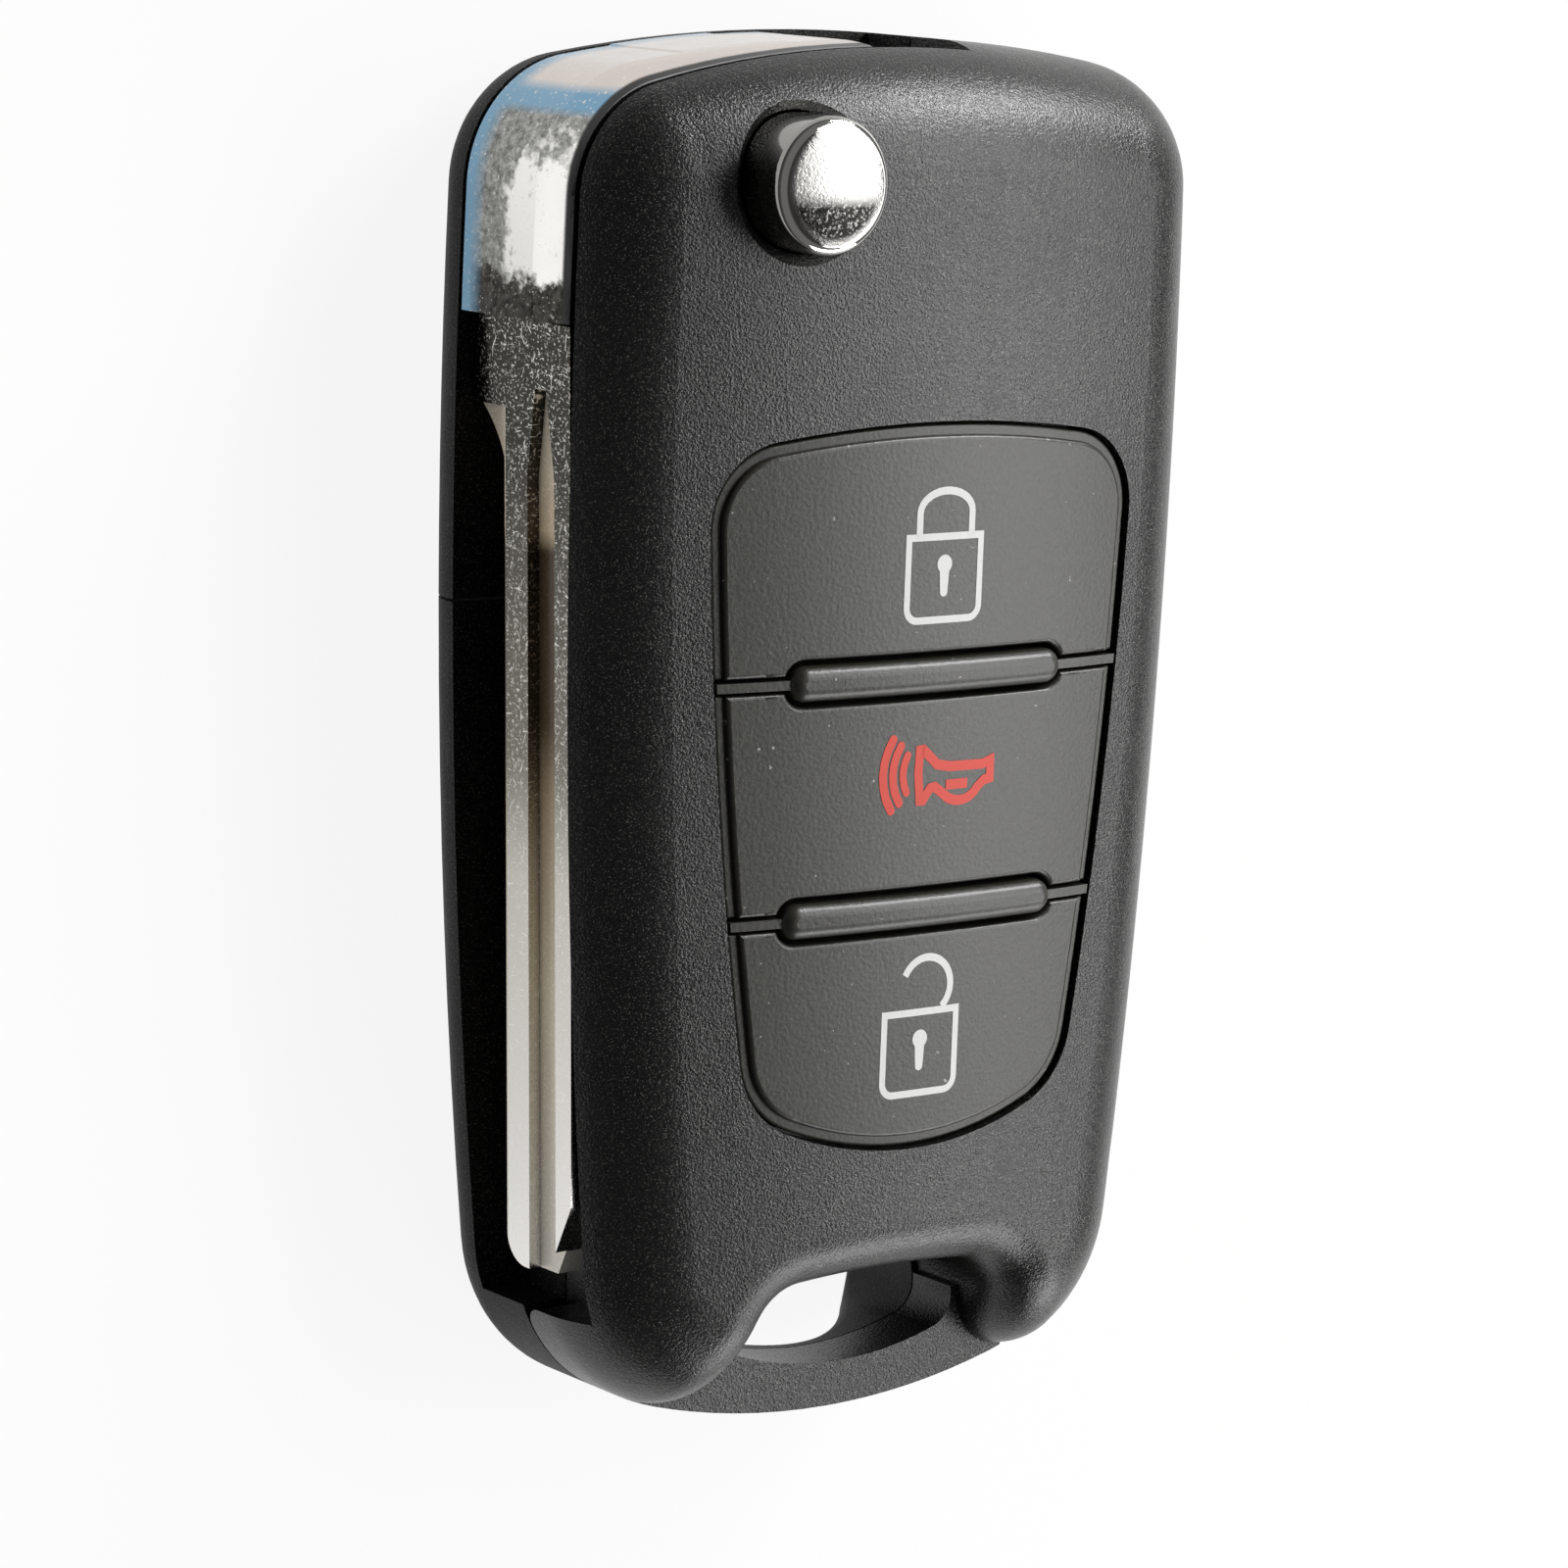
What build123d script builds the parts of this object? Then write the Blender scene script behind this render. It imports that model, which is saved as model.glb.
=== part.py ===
from build123d import *
import math
import os

# Flip-out car key fob, lying on its back with the blade folded into its left side.
# X points right and Y towards the pivot end, both as seen from the buttons. Z points out of the buttons.
# The origin is on the resting surface, under the middle of the fob. All sizes are millimetres.

# Case: the plan outline, its bowed edges and its rounding
length = 75.0
thickness = 17.0
top_half_width = 21.0
bottom_half_width = 17.8
top_bow = 2.4
bottom_bow = 3.7
side_bow = 1.45
top_corner_radius = 7.0
bottom_corner_radius = 9.6
crown_radius = 100.0
front_edge_radius = 6.5
rear_edge_radius = 3.2
wall = 1.5
smallest_radius = 0.3
parting_height = 7.6
seam_gap = 0.15

# Slot in the left side and the top, where the blade and its head lie
slot_floor = 3.6
slot_cover = 4.2
slot_gap = 0.25
channel_gap = 0.4
slot_end_wall = 7.3
slot_bottom_radius = 1.3
slot_wall = 1.0
sweep_clearance = 0.35

# Pivot, blade head and blade
pivot_x = -8.5
pivot_from_top = 7.2
head_reach_right = 8.6
head_drop = 7.4
head_corner_radius = 3.0
head_flush_gap = 0.06
head_web = 2.0
blade_toe = 0.46
blade_recess = 0.95
blade_thickness = 2.7
blade_end_gap = 2.3
blade_edge_gap = 0.05
blade_step = 2.6
blade_step_start = 4.8
blade_step_run = 5.4
blade_ledge_depth = 0.35
blade_tip_radius = 1.7
blade_bevel_width = 2.2
blade_bevel_length = 4.2
groove_width = 2.45
groove_depth = 0.7
groove_from_edge = 1.45
groove_start = 3.6
groove_taper = 4.6
groove_start_width = 1.0
tang_length = 6.2
tang_width = 5.4
tang_gap = 0.03
pin_radius = 0.75
pin_setback = 3.4
pin_floor = 0.6
pin_chamfer = 0.15

# Release button, its shaft and its spring
button_radius = 3.6
button_rise = 2.6
button_bore_gap = 0.1
button_dome = 0.35
button_edge_radius = 0.55
button_lip = 0.6
button_rest_gap = 0.25
release_travel = 1.8
shaft_radius = 3.0
shaft_gap = 0.1
shaft_socket = 2.0
lug_radius = 4.4
lug_thickness = 1.2
lug_flat = 3.7
lug_gap = 0.1
spring_pocket_radius = 4.9
spring_wire = 0.8
spring_mean_radius = 3.6
spring_turns = 3.5
spring_seat_gap = 0.1
cup_radius = 4.6
cup_depth = 1.1
cup_gauge = 0.4
cup_gap = 0.05
guide_radius = 1.4
guide_gap = 0.08
guide_engagement = 0.6
guide_boss_radius = 2.4
guide_boss_rise = 1.4
guide_floor = 2.2
shaft_foot_radius = 2.6

# Keypad: opening, three buttons and the frame with its two divider bars
pad_x = 0.6
pad_top_margin = 6.65
pad_bottom_margin = 6.9
pad_top_drop = 2.4
pad_bottom_rise = 6.6
pad_top_bow = 1.5
pad_bottom_bow = 2.9
pad_side_bow = 0.6
pad_top_radius = 4.5
pad_bottom_radius = 5.0
pad_gap = 0.2
pad_lip = 0.6
pad_edge_radius = 0.25
key_rim_width = 0.55
key_rim_drop = 0.3
key_rim_radius = 0.15
front_wall = 2.8
lip_gap = 0.15
lip_thickness = 0.65
lip_side_gap = 0.25
key_travel = 0.45
travel_margin = 0.15
frame_thickness = 0.8
frame_rim = 0.9
window_length = 12.0
window_width = 5.6
window_radius = 1.0
divider_spacing = 12.7
divider_drop = 0.25
divider_length = 18.2
divider_width = 1.9
divider_rise = 0.45
divider_trough = 0.3
divider_edge_radius = 0.7
rib_width = 0.5
rib_gap = 0.18
plunger_radius = 2.2

# Electronics bay, behind the keypad
bay_top_wall = 1.35
bay_bottom_wall = 3.4
bay_gap = 0.25
bay_corner_radius = 1.5
membrane_thickness = 0.5
membrane_rim = 1.2
membrane_pad_radius = 3.0
membrane_gap = 0.1
board_thickness = 1.0
board_gap = 0.15
carrier_wall = 1.0
carrier_ledge = 0.8
carrier_drop = 1.8
switch_size = 4.5
switch_body = 1.3
actuator_radius = 1.2
actuator_height = 0.5
cell_radius = 10.0
cell_thickness = 3.2
cell_from_bay_end = 16.4
cell_seat = 1.1
cell_clearance = 1.6
cover_margin = 6.6
cell_step = 0.3
cell_face_inset = 1.2
cell_rest_radius = 7.0
clip_gauge = 0.3
clip_width = 4.0
clip_reach = 4.0
clip_bend = 1.35
clip_foot = 1.4
board_chips = (
    ("control_chip", (9.0, -1.2), (5.0, 5.0), 0.9),
    ("radio_chip", (-7.8, 5.6), (4.0, 4.0), 0.85),
    ("crystal", (9.2, 6.8), (5.0, 3.2), 1.1),
)

# Keyring opening, the scooped mouth in front of it and the bar below it
mouth_x = 0.85
mouth_depth = 8.7
mouth_top_half_width = 7.4
mouth_bottom_half_width = 9.75
mouth_bottom_shift = -1.4
mouth_corner_radius = 3.0
mouth_bow = 0.5
mouth_edge_radius = 3.0
ring_half_width = 7.8
bar_width = 2.5
ring_bottom_bow = 1.5
ring_side_bow = 0.1
ring_corner_radius = 1.7
ring_rear_radius = 1.2
ring_draft = 6.5
bar_height = 11.0

# Upper right pocket, with the transponder and the posts that join the shells
pocket_wall = 1.2
post_radius = 1.0
post_boss_radius = 2.0
post_length = 3.0
post_left_margin = 2.85
post_low_margin = 2.8
post_right_margin = 5.3
post_high_margin = 6.1
post_gap = 0.03
transponder_length = 11.0
transponder_width = 5.0
transponder_thickness = 2.6
transponder_gap = 1.0
transponder_drop = 3.3

far = 2 * length
os.makedirs("parts", exist_ok=True)


def rounded_quad(top_half, top_y, bottom_half, bottom_y, bows, radii, bottom_shift=0):
    """A four-sided plan with bowed edges and rounded corners. Bows and radii go top, bottom, sides."""
    low_right_x = bottom_shift + bottom_half
    low_left_x = bottom_shift - bottom_half
    with BuildSketch(Plane.XY) as quad:
        with BuildLine():
            SagittaArc((-top_half, top_y), (top_half, top_y), bows[0])
            SagittaArc((top_half, top_y), (low_right_x, bottom_y), bows[2])
            SagittaArc((low_right_x, bottom_y), (low_left_x, bottom_y), bows[1])
            SagittaArc((low_left_x, bottom_y), (-top_half, top_y), bows[2])
        make_face()
        fillet(quad.vertices().group_by(Axis.Y)[-1], radii[0])
        fillet(quad.vertices().group_by(Axis.Y)[0], radii[1])
    return quad.sketch


def case_plan(inset):
    """The fob's outline seen from the front, drawn in by the inset."""
    with BuildSketch(Plane.XY) as plan:
        add(
            rounded_quad(
                top_half_width,
                length / 2 - top_bow,
                bottom_half_width,
                bottom_bow - length / 2,
                (top_bow, bottom_bow, side_bow),
                (top_corner_radius, bottom_corner_radius),
            )
        )
        if inset > 0:
            offset(amount=-inset)
    return plan.sketch


def case_form(inset):
    """The closed body of the fob with its crowned front and rounded edges, drawn in by the inset."""
    with BuildPart() as form:
        with BuildSketch(Plane.XY.offset(inset)):
            add(case_plan(inset))
        extrude(amount=thickness)
        with BuildSketch(Plane.XZ):
            with Locations((0, thickness - crown_radius)):
                Circle(crown_radius - inset)
        extrude(amount=far, both=True, mode=Mode.INTERSECT)
        fillet(form.faces().sort_by(Axis.Z)[-1].edges(), front_edge_radius - inset)
        fillet(form.faces().sort_by(Axis.Z)[0].edges(), max(rear_edge_radius - inset, smallest_radius))
    return form.part


case = case_form(0)
case_room = case_form(wall)
case_room_fitted = case_form(wall + bay_gap)

# Places that follow from the sizes above
half_width = case.bounding_box().max.X
side_taper = math.atan2(top_half_width - bottom_half_width, length - top_bow - bottom_bow)
lean = side_taper - math.radians(blade_toe)
pivot_y = length / 2 - pivot_from_top
slot_roof = thickness - slot_cover
slot_bottom_y = slot_end_wall - length / 2
head_bottom = slot_floor + slot_gap
head_top = slot_roof - slot_gap
head_root_y = pivot_y - head_drop
head_reach_left = half_width + pivot_x
corner_reach = math.hypot(head_reach_left, head_drop)
corner_angle = math.atan2(head_drop, head_reach_left)
slot_right_x = pivot_x + corner_reach * math.cos(corner_angle - lean) + sweep_clearance
outer_sweep = (
    math.hypot(head_reach_left - top_corner_radius, pivot_from_top - top_corner_radius)
    + top_corner_radius
    + sweep_clearance
)
inner_sweep = (
    math.hypot(head_reach_right - head_corner_radius, pivot_from_top - head_corner_radius)
    + head_corner_radius
    + sweep_clearance
)
blade_face_x = blade_recess - half_width
blade_back_x = blade_face_x + blade_thickness / math.cos(lean)
blade_length = (head_root_y - slot_bottom_y - blade_end_gap) / math.cos(lean)
mouth_top_y = mouth_depth - length / 2
ring_bottom_y = bar_width - length / 2
bay_top_y = pivot_y - inner_sweep - bay_top_wall
bay_bottom_y = mouth_top_y + bay_bottom_wall
pad_top_half_width = top_half_width - pad_top_margin
pad_bottom_half_width = bottom_half_width - pad_bottom_margin
pad_top_y = bay_top_y - pad_top_drop
pad_bottom_y = bay_bottom_y + pad_bottom_rise
pad_middle_y = (pad_top_y + pad_top_bow + pad_bottom_y - pad_bottom_bow) / 2
divider_upper_y = pad_middle_y + divider_spacing / 2 - divider_drop
divider_lower_y = divider_upper_y - divider_spacing
key_upper_y = (pad_top_y + divider_upper_y) / 2
key_middle_y = (divider_upper_y + divider_lower_y) / 2
key_lower_y = (divider_lower_y + pad_bottom_y) / 2
cell_y = bay_bottom_y + cell_from_bay_end
cell_height = wall + cell_seat
cover_seam_y = cell_y + cell_radius + cover_margin
ceiling_height = thickness - front_wall
lip_bottom = ceiling_height - lip_gap - lip_thickness
frame_top = lip_bottom - key_travel - travel_margin
frame_bottom = frame_top - frame_thickness
board_height = cell_height + cell_thickness + cell_clearance
board_top = board_height + board_thickness
switch_top = board_top + switch_body
actuator_top = switch_top + actuator_height
sheet_bottom = actuator_top + membrane_gap
sheet_top = sheet_bottom + membrane_thickness
key_centres = (key_upper_y, key_middle_y, key_lower_y)
key_bands = (
    ("lock_button", divider_upper_y, far, key_upper_y),
    ("panic_button", divider_lower_y, divider_upper_y, key_middle_y),
    ("unlock_button", -far, divider_lower_y, key_lower_y),
)
pivot_crown = thickness - crown_radius + math.sqrt(crown_radius**2 - pivot_x**2)
pocket_left_x = max(slot_right_x, pivot_x + outer_sweep) + pocket_wall
pocket_low_y = bay_top_y + pocket_wall
transponder_x = pocket_left_x + transponder_gap + transponder_length / 2
transponder_y = pivot_y - transponder_drop


def channel_x(y, gap):
    """How far right the folded blade's inner face is at this y, moved right by the gap."""
    return blade_back_x + gap + (head_root_y - y) * math.tan(lean)


def sweep_zone():
    """The room in which the head turns and the blade folds, seen from the front."""
    with BuildSketch(Plane.XY) as zone:
        with Locations((pivot_x, pivot_y)):
            Circle(outer_sweep)
        with Locations((0, pivot_y - pivot_from_top - sweep_clearance)):
            Rectangle(far, far, align=(Align.CENTER, Align.MAX), mode=Mode.SUBTRACT)
        with Locations((pivot_x, pivot_y)):
            Circle(inner_sweep)
        with Locations((slot_right_x, pivot_y)):
            Rectangle(far, far, align=(Align.MAX, Align.MIN))
        with BuildLine():
            Polyline(
                (-far, pivot_y),
                (channel_x(pivot_y, channel_gap), pivot_y),
                (channel_x(slot_bottom_y, channel_gap), slot_bottom_y),
                (-far, slot_bottom_y),
                close=True,
            )
        make_face()
        with Locations((pivot_x, head_root_y - sweep_clearance)):
            Rectangle(half_width, head_drop, align=(Align.MAX, Align.MIN))
    return zone.sketch


def bay_plan(inset):
    """The electronics bay beside the blade channel, seen from the front and drawn in by the inset."""
    beside = channel_gap + slot_wall + inset
    top_y = bay_top_y - inset
    bottom_y = bay_bottom_y + inset
    with BuildSketch(Plane.XY) as bay:
        with BuildLine():
            Polyline(
                (channel_x(top_y, beside), top_y),
                (far, top_y),
                (far, bottom_y),
                (channel_x(bottom_y, beside), bottom_y),
                close=True,
            )
        make_face()
        add(case_plan(wall + inset), mode=Mode.INTERSECT)
        fillet(bay.vertices().group_by(Axis.Y)[-1], bay_corner_radius)
        fillet(bay.vertices().group_by(Axis.Y)[0], bay_corner_radius)
    return bay.sketch


def pocket_plan():
    """The pocket right of the head, clear of the room in which the head turns."""
    with BuildSketch(Plane.XY) as pocket:
        with Locations((pocket_left_x, pocket_low_y)):
            Rectangle(far, far, align=(Align.MIN, Align.MIN))
        with Locations((pivot_x, pivot_y)):
            Circle(outer_sweep + pocket_wall, mode=Mode.SUBTRACT)
        add(case_plan(wall), mode=Mode.INTERSECT)
    return pocket.sketch


def inner_rooms(depth, *plans):
    """The rooms inside the shells with these plans, up to this height and inside the case's wall."""
    with BuildPart() as rooms:
        with BuildSketch(Plane.XY):
            for plan in plans:
                add(plan)
        extrude(amount=depth)
        add(case_room, mode=Mode.INTERSECT)
    return rooms.part


def pad_plan(growth):
    """The outline of the keypad's opening, grown outwards by the growth."""
    with BuildSketch(Plane.XY) as pad:
        with Locations((pad_x, 0)):
            add(
                rounded_quad(
                    pad_top_half_width,
                    pad_top_y,
                    pad_bottom_half_width,
                    pad_bottom_y,
                    (pad_top_bow, pad_bottom_bow, pad_side_bow),
                    (pad_top_radius, pad_bottom_radius),
                )
            )
        offset(amount=growth)
    return pad.sketch


def divider_places():
    """Where the two divider bars stand, seen from the front."""
    return Locations((pad_x, divider_upper_y), (pad_x, divider_lower_y))


def divider_bars():
    """The two divider bars, raised above the case's crown and rounded along their tops."""
    with BuildPart() as bars:
        with BuildSketch(Plane.XY.offset(frame_bottom)):
            with divider_places():
                SlotOverall(divider_length, divider_width)
        extrude(amount=thickness)
        add(case.moved(Location((0, 0, divider_rise))), mode=Mode.INTERSECT)
        fillet(bars.faces().group_by(Axis.Z)[-1].edges(), divider_edge_radius)
    return bars.part


def divider_ribs():
    """The thin ribs that run on from the divider bars, level with the case's crown."""
    with BuildPart() as ribs:
        with BuildSketch(Plane.XY.offset(frame_bottom)):
            with divider_places():
                Rectangle(far, rib_width)
            add(pad_plan(-pad_gap), mode=Mode.INTERSECT)
        extrude(amount=thickness)
        add(case, mode=Mode.INTERSECT)
    return ribs.part


def key_plan(growth, low_y, high_y):
    """One button's share of the keypad between two dividers, grown outwards by the growth."""
    with BuildSketch(Plane.XY) as plan:
        add(pad_plan(growth))
        with Locations((pad_x, low_y + rib_width / 2 + rib_gap)):
            Rectangle(
                far,
                high_y - low_y - rib_width - 2 * rib_gap,
                align=(Align.CENTER, Align.MIN),
                mode=Mode.INTERSECT,
            )
        with divider_places():
            SlotOverall(
                divider_length + 2 * divider_trough,
                divider_width + 2 * divider_trough,
                mode=Mode.SUBTRACT,
            )
    return plan.sketch


def mouth_plan(growth):
    """The scoop at the bottom edge, through which the keyring passes, grown outwards by the growth."""
    with BuildSketch(Plane.XY) as mouth:
        with Locations((mouth_x, 0)):
            add(
                rounded_quad(
                    mouth_top_half_width,
                    mouth_top_y - mouth_bow,
                    mouth_bottom_half_width,
                    -length / 2 - mouth_bow,
                    (mouth_bow, mouth_bow, mouth_bow),
                    (mouth_corner_radius, mouth_bow),
                    mouth_bottom_shift,
                )
            )
        offset(amount=growth)
    return mouth.sketch


def ring_plan():
    """The part of the scoop that goes right through, above the keyring bar."""
    with BuildSketch(Plane.XY) as ring:
        with Locations((mouth_x, 0)):
            add(
                rounded_quad(
                    mouth_top_half_width,
                    mouth_top_y - mouth_bow,
                    ring_half_width,
                    ring_bottom_y + ring_bottom_bow,
                    (mouth_bow, ring_bottom_bow, ring_side_bow),
                    (mouth_corner_radius, ring_corner_radius),
                )
            )
    return ring.sketch


def keyring_bar():
    """The bar between the keyring opening and the bottom edge, with the scoop's floor beside it."""
    with BuildPart() as bar:
        with BuildSketch(Plane.XY.offset(parting_height)):
            add(mouth_plan(mouth_edge_radius))
            add(ring_plan(), mode=Mode.SUBTRACT)
            with Locations((mouth_x, ring_bottom_y + ring_bottom_bow + ring_corner_radius)):
                Rectangle(far, far, align=(Align.CENTER, Align.MIN), mode=Mode.SUBTRACT)
        extrude(amount=bar_height - parting_height)
        add(case, mode=Mode.INTERSECT)
    return bar.part


def post_places():
    """Where the rear shell's posts enter the front shell, seen from the front."""
    return Locations(
        (pocket_left_x + post_left_margin, pocket_low_y + post_low_margin),
        (half_width - post_right_margin, length / 2 - post_high_margin),
    )


def blade_point(along, inward):
    """A point of the folded blade: so far past the head's lower face, and so far into its thickness."""
    return (
        blade_face_x + along * math.sin(lean) + inward * math.cos(lean),
        head_root_y - along * math.cos(lean) + inward * math.sin(lean),
    )


# Front shell: crowned cover with the keypad opening, the button bore and half of the slot
with BuildPart() as front_shell:
    add(case)
    split(bisect_by=Plane.XY.offset(parting_height), keep=Keep.TOP)
    with BuildSketch(Plane.XY):
        add(mouth_plan(0))
    extrude(amount=thickness, mode=Mode.SUBTRACT)
    scoop_rim = front_shell.edges(Select.NEW).group_by(Axis.Z)[1:]
    scoop_rim = ShapeList(edge for group in scoop_rim for edge in group).filter_by(Axis.Z, reverse=True)
    fillet(scoop_rim, mouth_edge_radius)
    add(keyring_bar())
    with BuildSketch(Plane.XY):
        add(sweep_zone())
    extrude(amount=slot_roof, mode=Mode.SUBTRACT)
    slot_corner = front_shell.edges(Select.NEW).filter_by(Axis.X).group_by(Axis.Z)[-1].sort_by(Axis.Y)[0]
    fillet(slot_corner, slot_bottom_radius)
    add(inner_rooms(ceiling_height, bay_plan(0), pocket_plan()), mode=Mode.SUBTRACT)
    with BuildSketch(Plane.XY.offset(parting_height)):
        with post_places():
            Circle(post_boss_radius)
            Circle(post_radius + post_gap, mode=Mode.SUBTRACT)
    extrude(amount=ceiling_height - parting_height)
    with BuildSketch(Plane.XY):
        add(pad_plan(0))
    extrude(amount=far, mode=Mode.SUBTRACT)
    with BuildSketch(Plane.XY):
        with Locations((pivot_x, pivot_y)):
            Circle(button_radius + button_bore_gap)
    extrude(amount=far, mode=Mode.SUBTRACT)
    chamfer(front_shell.edges(Select.NEW).sort_by(Axis.Z)[-1], button_lip)
front_shell.part.label = "front_shell"
export_step(front_shell.part, "parts/front_shell.step")

# Rear shell: upper back half, with the spring's seat, the guide boss and the posts
with BuildPart() as rear_shell:
    add(case)
    split(bisect_by=Plane.XY.offset(parting_height - seam_gap), keep=Keep.BOTTOM)
    with BuildSketch(Plane.XY):
        with Locations((0, cover_seam_y)):
            Rectangle(far, far, align=(Align.CENTER, Align.MAX))
    extrude(amount=thickness, mode=Mode.SUBTRACT)
    with BuildSketch(Plane.XY.offset(slot_floor)):
        add(sweep_zone())
    extrude(amount=thickness, mode=Mode.SUBTRACT)
    add(inner_rooms(thickness, bay_plan(0), pocket_plan()), mode=Mode.SUBTRACT)
    with BuildSketch(Plane.XY.offset(wall)):
        add(bay_plan(0))
        add(bay_plan(carrier_wall), mode=Mode.SUBTRACT)
        with Locations((0, cover_seam_y)):
            Rectangle(far, far, align=(Align.CENTER, Align.MAX), mode=Mode.SUBTRACT)
    extrude(amount=board_height - carrier_drop - wall)
    with BuildSketch(Plane.XY.offset(slot_floor - cup_depth)):
        with Locations((pivot_x, pivot_y)):
            Circle(cup_radius + cup_gap)
    extrude(amount=cup_depth, mode=Mode.SUBTRACT)
    with BuildSketch(Plane.XY.offset(slot_floor - cup_depth)):
        with Locations((pivot_x, pivot_y)):
            Circle(guide_boss_radius)
    extrude(amount=cup_depth + guide_boss_rise)
    with BuildSketch(Plane.XY.offset(guide_floor)):
        with Locations((pivot_x, pivot_y)):
            Circle(guide_radius + guide_gap)
    extrude(amount=thickness, mode=Mode.SUBTRACT)
    with BuildSketch(Plane.XY.offset(wall)):
        with post_places():
            Circle(post_radius)
    extrude(amount=parting_height + post_length - wall)
rear_shell.part.label = "rear_shell"
export_step(rear_shell.part, "parts/rear_shell.step")

# Battery cover: lower back half, which lifts off backwards to reach the cell
with BuildPart() as battery_cover:
    add(case)
    split(bisect_by=Plane.XY.offset(parting_height - seam_gap), keep=Keep.BOTTOM)
    with BuildSketch(Plane.XY):
        with Locations((0, cover_seam_y - seam_gap)):
            Rectangle(far, far, align=(Align.CENTER, Align.MIN))
    extrude(amount=thickness, mode=Mode.SUBTRACT)
    with BuildSketch(Plane.XY.offset(parting_height)):
        add(ring_plan())
    extrude(amount=-parting_height, taper=-ring_draft, mode=Mode.SUBTRACT)
    ring_rim = battery_cover.edges(Select.NEW).filter_by(Axis.Z, reverse=True)
    fillet(ring_rim.filter_by_position(Axis.Z, 0, rear_edge_radius), ring_rear_radius)
    with BuildSketch(Plane.XY.offset(slot_floor)):
        add(sweep_zone())
    extrude(amount=thickness, mode=Mode.SUBTRACT)
    add(inner_rooms(thickness, bay_plan(0)), mode=Mode.SUBTRACT)
    with BuildSketch(Plane.XY.offset(wall)):
        add(bay_plan(0))
        add(bay_plan(carrier_wall), mode=Mode.SUBTRACT)
        with Locations((0, cover_seam_y - seam_gap)):
            Rectangle(far, far, align=(Align.CENTER, Align.MIN), mode=Mode.SUBTRACT)
    extrude(amount=board_height - carrier_drop - wall)
    with BuildSketch(Plane.XY.offset(wall)):
        with Locations((pad_x, cell_y)):
            Circle(cell_rest_radius)
            Circle(cell_rest_radius - carrier_wall, mode=Mode.SUBTRACT)
    extrude(amount=cell_height - wall)
battery_cover.part.label = "battery_cover"
export_step(battery_cover.part, "parts/battery_cover.step")

# Keypad frame: a plate behind the opening, with ribs and two divider bars that stand between the buttons
with BuildPart() as keypad_frame:
    with BuildSketch(Plane.XY.offset(frame_bottom)):
        add(pad_plan(pad_lip + lip_side_gap + frame_rim))
    extrude(amount=ceiling_height - lip_gap - frame_bottom)
    with BuildSketch(Plane.XY.offset(frame_top)):
        add(pad_plan(pad_lip + lip_side_gap))
    extrude(amount=thickness, mode=Mode.SUBTRACT)
    with BuildSketch(Plane.XY):
        add(bay_plan(bay_gap))
    extrude(amount=thickness, mode=Mode.INTERSECT)
    add(case_room_fitted, mode=Mode.INTERSECT)
    add(divider_ribs())
    add(divider_bars())
    with BuildSketch(Plane.XY):
        with Locations(*[(pad_x, y) for y in key_centres]):
            RectangleRounded(window_length, window_width, window_radius)
    extrude(amount=thickness, mode=Mode.SUBTRACT)
keypad_frame.part.label = "keypad_frame"
export_step(keypad_frame.part, "parts/keypad_frame.step")

# Three buttons: each fills its share of the opening, with a low rim, a lip below the shell and a plunger
for label, low_y, high_y, centre_y in key_bands:
    with BuildPart() as key:
        with BuildSketch(Plane.XY.offset(lip_bottom)):
            add(key_plan(-pad_gap, low_y, high_y))
        extrude(amount=thickness)
        add(case.moved(Location((0, 0, -key_rim_drop))), mode=Mode.INTERSECT)
        fillet(key.faces().sort_by(Axis.Z)[-1].edges(), key_rim_radius)
        with BuildSketch(Plane.XY.offset(lip_bottom)):
            add(key_plan(-pad_gap - key_rim_width, low_y, high_y))
        extrude(amount=thickness)
        add(case, mode=Mode.INTERSECT)
        fillet(key.faces().sort_by(Axis.Z)[-1].edges(), pad_edge_radius)
        with BuildSketch(Plane.XY.offset(lip_bottom)):
            add(key_plan(pad_lip, low_y, high_y))
        extrude(amount=lip_thickness)
        with BuildSketch(Plane.XY.offset(frame_bottom)):
            with Locations((pad_x, centre_y)):
                Circle(plunger_radius)
        extrude(amount=lip_bottom - frame_bottom)
    key.part.label = label
    export_step(key.part, f"parts/{label}.step")

# Switch membrane: a rubber sheet over the switches, with a clamped rim and three pads
with BuildPart() as switch_membrane:
    with BuildSketch(Plane.XY.offset(sheet_bottom)):
        add(bay_plan(bay_gap))
    extrude(amount=frame_bottom - sheet_bottom)
    add(case_room_fitted, mode=Mode.INTERSECT)
    with BuildSketch(Plane.XY.offset(sheet_top)):
        add(bay_plan(bay_gap + membrane_rim))
    extrude(amount=thickness, mode=Mode.SUBTRACT)
    with BuildSketch(Plane.XY.offset(sheet_top)):
        with Locations(*[(pad_x, y) for y in key_centres]):
            Circle(membrane_pad_radius)
    extrude(amount=frame_bottom - key_travel - membrane_gap - sheet_top)
switch_membrane.part.label = "switch_membrane"
export_step(switch_membrane.part, "parts/switch_membrane.step")

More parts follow.
